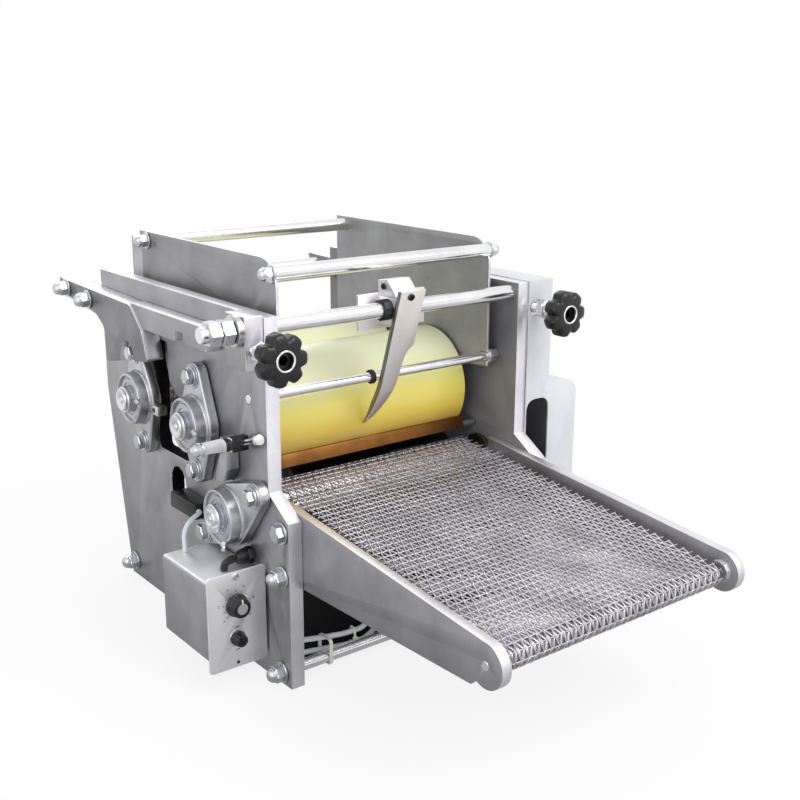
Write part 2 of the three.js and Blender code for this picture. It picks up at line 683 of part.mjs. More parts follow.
function motor() {
  const right = gearboxRight - gearboxWidth - clearance;
  const left = right - motorLength;
  const body = turnedX([
    [left, 0], [left, motorRadius - 6], [left + 6, motorRadius], [right - 8, motorRadius],
    [right - 8, motorRadius - 3], [right, motorRadius - 3], [right, 0]], motorAxisY, motorCentreZ);
  const terminals = block(
    [left + 25, left + 85], [motorAxisY - motorRadius - terminalRise, motorAxisY - 20],
    [motorCentreZ - 25, motorCentreZ + 25]);
  return join(body, terminals);
}
addPart('gear_motor', motor(), blackPlastic);

// Conveyor arms with bolts through the plates, and the boss ring of the tail bearing
function conveyorArm(side) {
  const outer = plateInner - clearance;
  const inner = outer - armThickness;
  const outline = new THREE.Shape();
  outline.moveTo(armRearDepth, conveyorAxisZ - 56.5);
  outline.lineTo(armRearDepth, conveyorAxisZ + 26.5);
  outline.lineTo(0, conveyorAxisZ + 19.5);
  outline.lineTo(-tailReach + 2, tailHeight + armTipRadius);
  outline.absarc(-tailReach, tailHeight, armTipRadius, Math.PI / 2, -Math.PI / 3, false);
  outline.lineTo(-tailReach + 16, tailHeight - armTipRadius - 3);
  outline.lineTo(0, conveyorAxisZ - 54.5);
  const ring = barX(11, [side * (inner + 1), side * (inner - 4)], -tailReach, tailHeight);
  const shank = [side * (outer - 1), side * (plateOuter + 2)];
  const shanks = armBolts.map(([y, z]) => barX(tieRodRadius, shank, y, z));
  const nutFace = plateOuter + clearance;
  return cut(
    join(
      sideSlab(outline, side * inner, side * outer, 8), ring, ...shanks,
      boltHead(side, nutFace, ...armBolts[0]), domeNut(side, nutFace, ...armBolts[1])),
    barX(idlerShaftRadius + clearance, [side * (inner - 5), side * (outer + 1)], -tailReach, tailHeight),
    barX(idlerShaftRadius + clearance, [side * (inner - 5), side * (outer - 3)], supportAxisY, supportAxisZ));
}
addPart('left_conveyor_arm', conveyorArm(-1), castSteel);
addPart('right_conveyor_arm', conveyorArm(1), castSteel);

// Belt: a closed band round the drive and tail rollers
function beltPath(grow) {
  const drive = driveRollerRadius + clearance + grow;
  const tail = tailRollerRadius + clearance + grow;
  const opening = Math.PI / 2 + Math.asin(radiusStep / conveyorSpan.length());
  const path = new THREE.Shape();
  path.absarc(conveyorAxisY, conveyorAxisZ, drive, conveyorTilt - opening, conveyorTilt + opening, false);
  path.absarc(
    -tailReach, tailHeight, tail, conveyorTilt + opening, conveyorTilt - opening + 2 * Math.PI, false);
  return path;
}

function conveyorBelt() {
  const band = sideSlab(beltPath(beltThickness), -beltWidth / 2, beltWidth / 2, 14);
  const inside = sideSlab(beltPath(0), -beltWidth / 2 - 1, beltWidth / 2 + 1, 14);
  return band.subtract(inside);
}
addPart('conveyor_belt', conveyorBelt(), brightSteel);

// Conveyor rollers
const beltRollerHalf = beltWidth / 2 - 1;
const driveRoller = join(
  gearShaft(conveyorShaftRadius, conveyorAxisY, conveyorAxisZ),
  barX(driveRollerRadius, [-beltRollerHalf, beltRollerHalf], conveyorAxisY, conveyorAxisZ, 24));
addPart('drive_roller', driveRoller, darkSteel);

function idler(radius, leftEnd, rightEnd, y, z) {
  return join(
    barX(radius, [-beltRollerHalf, beltRollerHalf], y, z),
    barX(idlerShaftRadius, [leftEnd, rightEnd], y, z));
}
const armOuter = plateInner - clearance;
addPart('tail_roller', idler(tailRollerRadius, -armOuter, armOuter + 5, -tailReach, tailHeight), brightSteel);
addPart('support_roller', idler(
  supportRollerRadius, -armOuter + 4, armOuter - 4, supportAxisY, supportAxisZ), brightSteel);

// Horn brackets, which carry the rear roller and slide with it
const bracketFace = plateOuter + clearance;
const bracketOuter = bracketFace + bracketThickness;
const hornOutline = roundedOutline([
  [rearAxisY - 6.5, lowRodZ + 10], [lowRodY - 42, lowRodZ + 12], [lowRodY + 84, lowRodZ + 15],
  [lowRodY + 76, lowRodZ - 1], [lowRodY + 54, lowRodZ - 6], [lowRodY + 4, lowRodZ - 11],
  [lowRodY - 20, lowRodZ - 14], [lowRodY - 39, lowRodZ - 26], [lowRodY - 42, rollerAxisZ + 30],
  [rearAxisY + 12.5, rollerAxisZ + 40], [rearAxisY - 43.5, rollerAxisZ + 49],
  [rearAxisY - 32.5, lowRodZ - 15]], 5);

function hornBracket(side) {
  const slab = sideSlab(hornOutline, side * bracketFace, side * bracketOuter, 3);
  const through = [side * (bracketFace - 1), side * (bracketOuter + 1)];
  const bores = hornRods.map(([y, z]) => barX(hornRodRadius + clearance, through, y, z));
  if (side < 0) {
    return cut(slab, ...bores, flangeSlab(lugSpacing, rearTurn, rearAxisY, rollerAxisZ, through, 0.8));
  }
  const tongueOuter = gearInner - 1.2;
  const tongue = block(
    [bracketFace, tongueOuter], [rearAxisY - tongueHalf, rearAxisY + tongueHalf],
    [rollerAxisZ - tongueBelow, rollerAxisZ + tongueAbove]);
  const gearRoom = barX(gearTipRadius + 1.5, [tongueOuter, bracketOuter + 1], rearAxisY, rollerAxisZ, smooth);
  return cut(
    join(slab, tongue), ...bores, gearRoom,
    barX(shaftRadius + clearance, [bracketFace - 1, tongueOuter + 1], rearAxisY, rollerAxisZ, smooth));
}
addPart('left_horn_bracket', hornBracket(-1), darkSteel);
addPart('right_horn_bracket', hornBracket(1), darkSteel);

// Pull bars between the adjusting screws and the brackets, notched below over the front bearing
function pullBar(side) {
  const top = plateHeight - pullBarDrop;
  const bottom = top - pullBarHeight;
  const notch = [rollerAxisY + 6.5, rollerAxisY + 25.5];
  const screwHole = [pullBarFront - 1, pullBarFront + screwReach + 6];
  const outline = outlineOf([
    [pullBarFront, bottom], [notch[0], bottom], [notch[0], bottom + 11], [notch[1], bottom + 11],
    [notch[1], bottom], [rearAxisY - 31, bottom], [rearAxisY - 2.5, top], [pullBarFront, top]]);
  return cut(
    sideSlab(outline, side * bracketFace, side * (bracketFace + pullBarThickness)),
    sideSlab(hornOutline, side * (bracketFace - 1), side * (bracketOuter + 1), 3)
      .translate([0, -clearance * 2, 0]),
    barY(adjusterScrewRadius + clearance, screwHole, side * adjusterX, adjusterZ));
}
addPart('left_pull_bar', pullBar(-1), castSteel);
addPart('right_pull_bar', pullBar(1), castSteel);

// Rods between the brackets
const hornReach = bracketOuter + clearance;
addPart('lower_horn_rod', nuttedRod(hornRodRadius, hornReach, ...hornRods[0]), brightSteel);
addPart('upper_horn_rod', nuttedRod(hornRodRadius, hornReach, ...hornRods[1]), brightSteel);

// Adjusting screws with a hub sleeve, a lock nut and a collar behind the block
function adjustingScrew(side) {
  const x = side * adjusterX;
  const nutBack = plateStepDepth - lockNutGap;
  const nutFront = nutBack - lockNutWidth;
  const screw = barY(adjusterScrewRadius, [knobFront + 1, pullBarFront + screwReach], x, adjusterZ);
  const sleeve = barY(9.5, [knobFront + knobLength + clearance, nutFront - 3], x, adjusterZ);
  const lockNut = barY(10.5, [nutFront, nutBack], x, adjusterZ, 6);
  const rearCollar = barY(9, [frontBlockBack + clearance, frontBlockBack + 5], x, adjusterZ);
  return join(screw, sleeve, lockNut, rearCollar);
}
addPart('left_adjusting_screw', adjustingScrew(-1), brightSteel);
addPart('right_adjusting_screw', adjustingScrew(1), brightSteel);

// Star knobs: a seven-lobed grip with a rounded rim
function starKnob(side) {
  const rim = 2;
  const lobeDepth = 3.5;
  const steps = knobLobes * 5;
  const points = [];
  for (let step = 0; step < steps; step += 1) {
    const angle = (step / steps) * 2 * Math.PI;
    const radius = knobRadius - rim - lobeDepth + lobeDepth * Math.cos(knobLobes * angle);
    points.push([radius * Math.cos(angle), radius * Math.sin(angle)]);
  }
  const geometry = new THREE.ExtrudeGeometry(outlineOf(points), {
    depth: knobLength - 2 * rim, bevelThickness: rim, bevelSize: rim, bevelSegments: 1 });
  geometry.rotateX(Math.PI / 2);
  geometry.translate(side * adjusterX, knobFront + knobLength - rim, adjusterZ);
  const through = [knobFront - 1, knobFront + knobLength + 1];
  return cut(
    solidOf(geometry), barY(adjusterScrewRadius + clearance, through, side * adjusterX, adjusterZ));
}
addPart('left_star_knob', starKnob(-1), blackPlastic);
addPart('right_star_knob', starKnob(1), blackPlastic);

// Scraper: a thin shaft with a lever outside the left plate, and a copper strip at the front roller
const leverOutline = [[-5.5, -1], [6, -3], [6, 5.5], [-5, 30.5], [-5, 45.5], [-15, 45.5], [-15, 13.5]];
const leverFront = scraperAxisY - 15;
const leverTop = scraperAxisZ + 45.5;
const leverOuter = -plateOuter - 15;

function atScraper(points) {
  return points.map(([y, z]) => [scraperAxisY + y, scraperAxisZ + z]);
}

function scraperShaft() {
  const shaft = barX(scraperShaftRadius, [-plateOuter - 1, plateOuter - 2], scraperAxisY, scraperAxisZ);
  return join(shaft, sideSlab(outlineOf(atScraper(leverOutline)), -plateOuter - 0.7, leverOuter));
}
addPart('scraper_shaft', scraperShaft(), brightSteel);

function scraperBlade() {
  const tip = new THREE.Vector2(scraperTipY, scraperTipZ);
  const down = new THREE.Vector2(-Math.cos(scraperLean), -Math.sin(scraperLean)).multiplyScalar(scraperDepth);
  const front = new THREE.Vector2(-Math.sin(scraperLean), Math.cos(scraperLean)).multiplyScalar(scraperSheet);
  const edge = tip.clone().add(front);
  const foot = tip.clone().add(down);
  const outline = outlineOf([
    [tip.x, tip.y], [edge.x, edge.y - 1], [edge.x + down.x, edge.y + down.y], [foot.x, foot.y]]);
  return sideSlab(outline, -beltWidth / 2, beltWidth / 2);
}
addPart('scraper_blade', scraperBlade(), copper);

// Adjuster of the scraper: a bar on the plate, with a thin screw that stops the lever
const stopRoom = 4.4;
const stopTilt = -0.33;
const stopLength = 55;

function stopScrew(radius, start, end) {
  const geometry = new THREE.CylinderGeometry(radius, radius, start - end, coarse);
  geometry.translate(0, (start + end) / 2, 0);
  geometry.rotateX(stopTilt);
  geometry.translate(-plateOuter - 10, leverFront - stopRoom, leverTop - 5.5);
  return solidOf(geometry);
}

function scraperAdjuster() {
  const barInner = -plateOuter - 19;
  const barOuter = barInner - 8;
  const barOutline = roundedOutline(
    atScraper([[19, 21.5], [21, 33.5], [-31, 52.5], [-39, 50.5], [-39, 40.5], [-33, 39.5]]), 4);
  const [[standY, standZ]] = atScraper([[13, 29.5]]);
  const [[lugFront, lugBottom], [lugBack, lugTop]] = atScraper([[-41, 39.5], [-33, 53.5]]);
  return join(
    sideSlab(barOutline, barInner, barOuter, 3),
    barX(6, [-plateOuter - clearance, barInner - 3], standY, standZ),
    block([-plateOuter - 4, barInner - 3], [lugFront, lugBack], [lugBottom, lugTop]),
    stopScrew(3, 0, -stopLength),
    stopScrew(5, 7.2 - stopLength, -0.8 - stopLength),
    domeNut(-1, -barOuter - 0.2, standY, standZ, 6.5));
}
addPart('scraper_adjuster', scraperAdjuster(), brightSteel);

// The back of the divider blade leans forward towards its top
const bladeTop = [dividerRodY - 18.7, dividerRodZ + 21];
const bladeBend = [dividerRodY + 10, dividerRodZ - 68];
const bladeSheet = 6.3;
function bladeBackAt(z) {
  return bladeBend[0] + ((bladeTop[0] - bladeBend[0]) * (z - bladeBend[1])) / (bladeTop[1] - bladeBend[1]);
}

// Divider: a clamp block that swings on its rod and carries a curved blade down to the front roller
function dividerBlock() {
  const bottom = dividerRodZ - 16;
  const frontTop = dividerRodZ + 14.5;
  const back = dividerRodY + 16;
  const body = outlineOf([
    [bladeBackAt(bottom) + 0.5, bottom], [back, bottom], [back, dividerRodZ + 20],
    [bladeBackAt(frontTop) + 0.5, frontTop]]);
  const clamp = sideSlab(body, -16, 12);
  const collar = barX(11, [-26, -15], dividerRodY, dividerRodZ);
  const backPlate = block([-42, 43], [back - 1, back + 2], [dividerRodZ - 22, frontTop]);
  return cut(
    join(clamp, collar, backPlate),
    barX(dividerRodRadius + clearance, [-30, 20], dividerRodY, dividerRodZ, swivel));
}
addPart('divider_block', dividerBlock(), darkSteel);

function dividerBlade() {
  const [bendY, bendZ] = bladeBend;
  const profile = new THREE.Shape();
  profile.moveTo(bladeTop[0] - bladeSheet, bladeTop[1]);
  profile.lineTo(bendY - bladeSheet, bendZ);
  profile.quadraticCurveTo(bendY + 2, bendZ - 34, dividerTipY, dividerTipZ);
  profile.quadraticCurveTo(bendY + 10, bendZ - 30, bendY, bendZ);
  profile.lineTo(...bladeTop);
  const front = new THREE.Shape();
  front.moveTo(-18, dividerRodZ + 28);
  front.lineTo(13, dividerRodZ + 28);
  front.lineTo(13, dividerRodZ - 40);
  front.quadraticCurveTo(4, dividerRodZ - 44, 4, dividerRodZ - 56);
  front.lineTo(0, dividerTipZ + 41.4);
  front.lineTo(-12, dividerTipZ - 10.6);
  front.lineTo(-18, dividerTipZ + 29.4);
  return sideSlab(profile, -20, 20, 6).intersect(frontSlab(front, 0, dividerTipY + 20, 5));
}
addPart('divider_blade', dividerBlade(), sheetSteel);

// Gear cover: a sheet box, narrow at the top and wide below, open towards the plate
function coverForm(inset) {
  const mouth = plateOuter + clearance - (inset > 0 ? 5 : 0);
  const narrow = plateOuter + coverNarrow - inset;
  const wide = plateOuter + coverWide - inset;
  const front = coverSection(mouth, narrow, wide, inset);
  const side = outlineOf([
    [coverFront + inset, coverBottom + inset], [coverFront + inset, coverTop - inset],
    [coverBack - inset, coverTop - inset], [coverBack - inset, rollerAxisZ - 21],
    [coverFootDepth - inset, coverBottom + inset]]);
  return frontSlab(front, coverFront - 10, coverBack + 10, 6)
    .intersect(sideSlab(side, plateOuter - 10, plateOuter + coverWide + 20));
}

function coverSection(mouth, narrow, wide, inset) {
  const shoulder = coverShoulder - inset;
  const shape = new THREE.Shape();
  shape.moveTo(mouth, 0);
  shape.lineTo(wide, 0);
  shape.lineTo(wide, shoulder - coverCorner);
  shape.absarc(wide - coverCorner, shoulder - coverCorner, coverCorner, 0, Math.PI / 2, false);
  shape.lineTo(narrow, shoulder);
  shape.lineTo(narrow, coverTop + 20);
  shape.lineTo(mouth, coverTop + 20);
  return shape;
}

// The cover has an arch in its front, a hole for the screw and a notch behind for the bracket
function gearCover() {
  const archLeft = plateOuter + 1;
  const archRight = archLeft + 35;
  const archTop = rollerAxisZ - 7;
  const archBottom = archTop - 82;
  const arch = roundedOutline([
    [archLeft, archBottom], [archRight, archBottom], [archRight, archTop], [archLeft, archTop]], 14);
  return cut(
    coverForm(0),
    coverForm(coverSheet),
    frontSlab(arch, coverFront - 2, coverFront + coverSheet + 2, 5),
    barY(10, [coverFront - 2, coverFront + coverSheet + 1], adjusterX, adjusterZ),
    block(
      [plateOuter - 1, bracketOuter + 1.7], [coverBack - 8, coverBack + 2],
      [lowRodZ - 36, coverTop - coverSheet]));
}
addPart('gear_cover', gearCover(), coverPaint);

// Control box on the left plate
function boxOutline(right, width, bottom, top) {
  return roundedOutline([[right, bottom], [right, top], [right - width, top], [right - width, bottom]], 4);
}
const boxRight = -plateOuter - clearance;
const controlBox = frontSlab(boxOutline(boxRight, boxWidth, boxBottom, boxTop), boxFront, boxBack, 3);
addPart('control_box', controlBox, castSteel);

const panelBack = boxFront - clearance;
const panelFront = panelBack - panelSheet;
const controlBores = [dialZ, switchZ].map(
  (z) => barY(controlShaftRadius + clearance, [panelFront - 1, panelBack + 1], controlsX, z));
const controlPanel = cut(
  frontSlab(boxOutline(boxRight - 1.7, panelWidth, panelBottom, panelTop), panelFront, panelBack, 4),
  ...controlBores);
addPart('control_panel', controlPanel, sheetSteel);

// Speed dial and run switch, each a turned grip with a pointer ridge
function grip(radius, length, z) {
  const back = panelFront - clearance;
  const shaftBack = back + panelSheet;
  const body = turnedY([
    [back, 0], [back, radius], [back - 3, radius], [back - length, radius * 0.82], [back - length, 0]],
  controlsX, z, 20);
  const shaft = barY(controlShaftRadius, [back - 4, shaftBack], controlsX, z);
  const ridge = block(
    [controlsX - 1.3, controlsX + 1.3], [back - length - 1.5, back - length + 2],
    [z - radius * 0.2, z + radius * 0.75]);
  return join(body, shaft, ridge);
}
addPart('speed_dial', grip(11.5, 12, dialZ), blackPlastic);
addPart('run_switch', grip(7.5, 10, switchZ), blackPlastic);

// Gland and clamp on the left plate
const glandY = boxFront + 25.7;
const glandZ = boxTop + 10.3;
const gland = join(
  barX(8.5, [boxRight, boxRight - 10], glandY, glandZ),
  barX(6.5, [boxRight - 9, boxRight - 18], glandY, glandZ, 6));
addPart('cable_gland', gland, blackPlastic);
const clampFront = conveyorAxisY + 58.4;
const clampTop = conveyorAxisZ - 6.5;
const clampOutline = roundedOutline([
  [clampFront, clampTop - 17], [clampFront + 56, clampTop - 17], [clampFront + 56, clampTop],
  [clampFront, clampTop]], 3);
addPart('cable_clamp', sideSlab(clampOutline, boxRight, boxRight - 18, 3), blackPlastic);

// Cables along their routes, round in section
function cable(points, radius, steps) {
  const curve = new THREE.CatmullRomCurve3(points.map(([x, y, z]) => new THREE.Vector3(x, y, z)));
  const section = new THREE.Shape();
  section.absarc(0, 0, radius, 0, 2 * Math.PI, false);
  const extrude = { steps, extrudePath: curve, curveSegments: 4, bevelEnabled: false };
  return solidOf(new THREE.ExtrudeGeometry(section, extrude));
}
const controlCableRadius = 2.5;
const besidePlate = -plateOuter - 15;
const controlCable = [
  [besidePlate, 149.7, 143], [besidePlate, 147, 143], [besidePlate - 4, 143, 143],
  [besidePlate - 12, 139, 141.5], [besidePlate - 20, 137, 136], [besidePlate - 24, 136, 127],
  [besidePlate - 24, 136, 117], [besidePlate - 24, 136, boxTop + clearance]];
addPart('control_cable', cable(controlCable, controlCableRadius, 14), greyCable);

const motorCableRadius = 2.75;
const cableEnd = motorAxisY - motorRadius - terminalRise - clearance;
const plateFace = -plateInner + clearance;
const upperCable = [
  [plateFace, 26, 34], [plateFace + 6.7, 26, 34], [-115, 26, 29], [-80, 27, 24], [-55, 34, 22], [-35, 56, 24],
  [-20, 80, 40], [-11, 94, 64], [-8, 98.7, 88], [-8, 101.4, 98], [-8, 108.7, 105.3], [-8, 118.7, 108],
  [-8, cableEnd, 108]];
const lowerCable = [
  [plateFace, 26, 20], [plateFace + 6.7, 26, 20], [-115, 26, 16], [-80, 27, 11], [-50, 34, 9],
  [-22, 56, 12], [-4, 82, 28], [5, 95, 52], [8, 98.7, 78], [8, 101.4, 88], [8, 108.7, 95.3], [8, 118.7, 98], [8, cableEnd, 98]];
addPart('upper_motor_cable', cable(upperCable, motorCableRadius, 24), greyCable);
addPart('lower_motor_cable', cable(lowerCable, motorCableRadius, 24), greyCable);

// Tie round the front tie rod and the two cables, where they pass it
const [tieX, tiedY, tiedZ] = upperCable[2];
const tieRoom = 0.45;
const tieStrap = 0.9;

function tieOutline(grow, corner) {
  const front = frontTieY - tieRodRadius - tieRoom - grow;
  const back = tiedY + motorCableRadius + tieRoom + grow;
  const bottom = frontTieZ - tieRodRadius - tieRoom - grow;
  const top = tiedZ + motorCableRadius + tieRoom + grow;
  return roundedOutline([[front, bottom], [back, bottom], [back, top], [front, top]], corner);
}
const cableTie = cut(
  sideSlab(tieOutline(tieStrap, 4), tieX - 2, tieX + 2, 3),
  sideSlab(tieOutline(0, 3), tieX - 3, tieX + 3, 3));
addPart('cable_tie', cableTie, whitePlastic);

// The origin is the middle of the footprint, at table height
const extent = new THREE.Box3().setFromObject(model);
const centre = extent.getCenter(new THREE.Vector3());
model.position.set(-centre.x, -centre.y, -extent.min.z);
model.updateMatrixWorld(true);

export default model;
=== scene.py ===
"""Tabletop tortilla sheeter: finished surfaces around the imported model."""
import json
from math import acos, atan2, cos, pi, radians, sin

import bmesh
import bpy
from mathutils import Matrix, Vector

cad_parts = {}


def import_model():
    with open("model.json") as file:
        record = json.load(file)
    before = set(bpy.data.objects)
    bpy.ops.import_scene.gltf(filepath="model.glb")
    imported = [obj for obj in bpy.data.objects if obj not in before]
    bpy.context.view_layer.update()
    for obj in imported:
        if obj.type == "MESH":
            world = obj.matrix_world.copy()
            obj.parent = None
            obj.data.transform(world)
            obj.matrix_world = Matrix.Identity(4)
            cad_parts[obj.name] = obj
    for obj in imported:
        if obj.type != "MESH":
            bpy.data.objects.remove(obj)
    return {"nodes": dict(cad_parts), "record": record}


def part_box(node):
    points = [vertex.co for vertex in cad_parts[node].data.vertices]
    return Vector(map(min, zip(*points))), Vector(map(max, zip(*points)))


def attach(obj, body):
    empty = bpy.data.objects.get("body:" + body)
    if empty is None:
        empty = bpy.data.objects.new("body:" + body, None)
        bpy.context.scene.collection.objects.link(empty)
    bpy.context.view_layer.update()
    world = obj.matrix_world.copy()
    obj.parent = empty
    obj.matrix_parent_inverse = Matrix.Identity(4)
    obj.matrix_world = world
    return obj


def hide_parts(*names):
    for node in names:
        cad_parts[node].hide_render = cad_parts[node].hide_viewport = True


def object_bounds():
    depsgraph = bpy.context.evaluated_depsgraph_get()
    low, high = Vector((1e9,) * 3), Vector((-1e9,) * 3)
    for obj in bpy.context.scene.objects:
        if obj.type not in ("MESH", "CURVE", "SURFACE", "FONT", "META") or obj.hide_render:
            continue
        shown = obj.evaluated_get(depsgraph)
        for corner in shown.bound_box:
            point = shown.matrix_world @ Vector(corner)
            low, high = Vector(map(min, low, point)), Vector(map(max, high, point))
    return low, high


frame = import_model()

cad_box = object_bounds()

# Places are in machine millimetres: X from the middle, Y back from the front edge of the plates, Z up
MM = 0.001
PLATE_OUTER = 168.0
PLATE_INNER = 153.0
# Machine zero in the row frame, found from the left plate's lowest corner
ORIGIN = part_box("left_side_plate")[0] + Vector((PLATE_OUTER * MM, 0, 0))
BODY_OF = {node: body for body, nodes in frame["record"]["behaviour"]["bodies"].items() for node in nodes}


def extent(node):
    """The lowest and highest corner of a node in machine millimetres"""
    low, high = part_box(node)
    return (low - ORIGIN) / MM, (high - ORIGIN) / MM


def middle(node):
    low, high = extent(node)
    return (low + high) / 2


def place_of(face):
    """The middle in machine millimetres of a face that is in the row frame"""
    return (face.calc_center_median() - ORIGIN) / MM


HANDS = ((-1, "left_"), (1, "right_"))
LEFT = (-1, 0, 0)
RIGHT = (1, 0, 0)
FORWARD = (0, -1, 0)
BACK = (0, 1, 0)
# Clearance between pieces that sit on each other
SEAT = 0.3

ROLLER = middle("front_roller")
REAR_ROLLER = middle("rear_roller")
DRIVE = middle("conveyor_gear")
TAIL = middle("tail_roller")
ROLLER_RADIUS = 63.25
ROLLER_HALF = 131.0
DRUM_HALF = 132.0
SHAFT_RADIUS = 12.5
SHAFT_END = 196
HOPPER_OUTER = 137.0
HORN_OUTER = PLATE_OUTER + 20.6
KNOB_X = 178.5
KNOB_Z = 334.0
# Y and Z of two rods across the machine
DIVIDER_ROD = (46.0, 352.0)
GUIDE_ROD = (67.0, 279.0)


# Finishes

def linear(code):
    """An sRGB hex colour as linear RGBA"""
    channels = [int(code[i:i + 2], 16) / 255 for i in (1, 3, 5)]
    return [c / 12.92 if c <= 0.04045 else ((c + 0.055) / 1.055) ** 2.4 for c in channels] + [1.0]


def add(tree, kind, values=None, links=None, **settings):
    """A new node with its settings, its socket values and its links"""
    made = tree.nodes.new(kind)
    for key, value in settings.items():
        setattr(made, key, value)
    for socket, value in (values or {}).items():
        made.inputs[socket].default_value = value
    for socket, source in (links or {}).items():
        tree.links.new(source, made.inputs[socket])
    return made


def maths(tree, operation, first, second):
    """Two values put together; each is a number or a socket"""
    values, links = {}, {}
    for socket, source in enumerate((first, second)):
        (values if isinstance(source, float) else links)[socket] = source
    return add(tree, "ShaderNodeMath", values, links, operation=operation).outputs[0]


def remap(tree, value, low, high, start_at=0.0, end_at=1.0):
    """A value moved from the range start_at to end_at to the range low to high, and held there"""
    values = {"From Min": start_at, "From Max": end_at, "To Min": low, "To Max": high}
    return add(tree, "ShaderNodeMapRange", values, {"Value": value}).outputs["Result"]


def ramp(tree, source, stops):
    """A colour ramp over a value, from (position, hex colour) stops"""
    made = add(tree, "ShaderNodeValToRGB", links={"Fac": source})
    elements = made.color_ramp.elements
    while len(elements) < len(stops):
        elements.new(0.5)
    for element, (position, code) in zip(elements, stops):
        element.position = position
        element.color = linear(code)
    return made.outputs["Color"]


def empty_tree(owner):
    """The emptied node tree of a material or a world"""
    owner.use_nodes = True
    owner.node_tree.nodes.clear()
    return owner.node_tree


def start(name, slot):
    """A new material of a slot, with its tree, its shader and its object coordinates"""
    finish = bpy.data.materials.new(name)
    finish["slot"] = slot
    tree = empty_tree(finish)
    shader = add(tree, "ShaderNodeBsdfPrincipled")
    add(tree, "ShaderNodeOutputMaterial", links={"Surface": shader.outputs["BSDF"]})
    return finish, tree, shader, add(tree, "ShaderNodeTexCoord").outputs["Object"]


def noise(tree, place, periods, detail=3.0):
    """Soft noise whose periods are given in millimetres along X, Y and Z"""
    scale = [1 / (period * MM) for period in periods]
    vector = add(tree, "ShaderNodeMapping", {"Scale": scale}, {"Vector": place}).outputs["Vector"]
    values = {"Scale": 1.0, "Detail": detail, "Roughness": 0.5}
    return add(tree, "ShaderNodeTexNoise", values, {"Vector": vector}).outputs["Fac"]


def surface(tree, shader, colour, roughness, height, depth_mm, strength):
    """Links a colour, a roughness and a relief of the given depth to the shader"""
    values = {"Distance": depth_mm * MM, "Strength": strength}
    relief = add(tree, "ShaderNodeBump", values, {"Height": height}).outputs["Normal"]
    for socket, source in (("Base Color", colour), ("Roughness", roughness), ("Normal", relief)):
        tree.links.new(source, shader.inputs[socket])


def metal(name, slot, dark, light, roughness, grain, cloud=40.0, depth=0.02, metallic=1.0):
    """A bare metal: grain is the period of the tool or rolling marks along X, Y and Z"""
    finish, tree, shader, place = start(name, slot)
    clouds = noise(tree, place, (cloud,) * 3, 4.0)
    marks = noise(tree, place, grain, 2.0)
    shade = maths(tree, "ADD", clouds, maths(tree, "MULTIPLY", marks, 0.35))
    colour = ramp(tree, shade, [(0.35, dark), (1.0, light)])
    rough = remap(tree, marks, roughness - 0.07, roughness + 0.09)
    surface(tree, shader, colour, rough, marks, depth, 0.5)
    shader.inputs["Metallic"].default_value = metallic
    return finish


def moulded(name, slot, dark, light, roughness, grain_mm, depth, coat=0.0, gloss=0.5):
    """A paint or a plastic with a fine skin; gloss is how much it mirrors"""
    finish, tree, shader, place = start(name, slot)
    clouds = noise(tree, place, (35, 35, 35), 4.0)
    skin = noise(tree, place, (grain_mm,) * 3, 2.0)
    colour = ramp(tree, clouds, [(0.3, dark), (0.7, light)])
    rough = remap(tree, skin, roughness - 0.06, roughness + 0.08)
    surface(tree, shader, colour, rough, skin, depth, 0.6)
    shader.inputs["Coat Weight"].default_value = coat
    shader.inputs["Specular IOR Level"].default_value = gloss
    return finish


# Ground plate faces: satin, with faint upright grinding marks
ground_plate = metal("ground_steel_plate", "machined_steel", "#98989c", "#b6b6ba", 0.42, (3, 1.2, 14))
# Inner plate faces: the same steel, darker and less metallic, so the yellow rollers hardly show in them
dull_plate = metal(
    "dulled_steel_plate", "machined_steel", "#7c7b80", "#98979c", 0.6, (3, 1.2, 14), 60.0, metallic=0.35)
# Painted light: a nearly white copy of the plate steel for every face not turned to the side, edges and
# tops
lit_edge = metal("steel_edge_painted_light", "machined_steel", "#d6d4da", "#f2f0f6", 0.42, (2.5, 2.5, 2.5))
# Near-black painted shade for the walls of windows and holes in the plates
opening_shade = metal("opening_painted_shade", "machined_steel", "#1c1c1e", "#303034", 0.6, (2, 2, 2), 20.0)
# Turned bright bar with fine rings round it
turned_bright = metal(
    "turned_bright_steel", "bright_steel", "#c9c9cf", "#f0f0f4", 0.18, (0.9, 30, 30), 60.0, 0.01)
# Chrome plated rims and rods: whiter than turned steel
bright_chrome = metal(
    "bright_chrome", "bright_steel", "#dcdce0", "#fafaf8", 0.14, (0.9, 30, 30), 60.0, 0.005)
# Zinc plated fasteners
plated_nut = metal("zinc_plated_steel", "bright_steel", "#b4b5bb", "#dedfe4", 0.28, (4, 4, 4))
# Cast bearing housings, blasted and silver painted, with a grainy skin
cast_housing = metal(
    "blasted_cast_iron", "bearing_iron", "#a8a8ae", "#d4d4d9", 0.36, (1.6, 1.6, 1.6), 18.0, 0.06)
# Blackened steel
blackened = metal("blackened_steel", "dark_steel", "#303033", "#4b4b4f", 0.45, (5, 2, 2))
# Ground bracket bar, a little duller than the plates
bracket_bar = metal("ground_bracket_bar", "dark_steel", "#7e7e82", "#9c9ca1", 0.44, (3, 9, 1.4))
# Pale milled aluminium of the divider's clamp
milled_block = metal(
    "milled_aluminium", "dark_steel", "#e8e6ea", "#fbf9fd", 0.44, (2.0, 1.0, 2.0), 30.0, 0.01)
# Polished strip of the divider's blade, ground along its length
polished_strip = metal(
    "polished_stainless_strip", "sheet_steel", "#ebe4de", "#fcf7f1", 0.42, (1.0, 9, 30), 30.0, 0.01)
# Oiled gear steel
gear_steel = metal("hobbed_gear_steel", "gear_steel", "#4d4d50", "#77777a", 0.35, (1.0, 6, 6), 25.0)
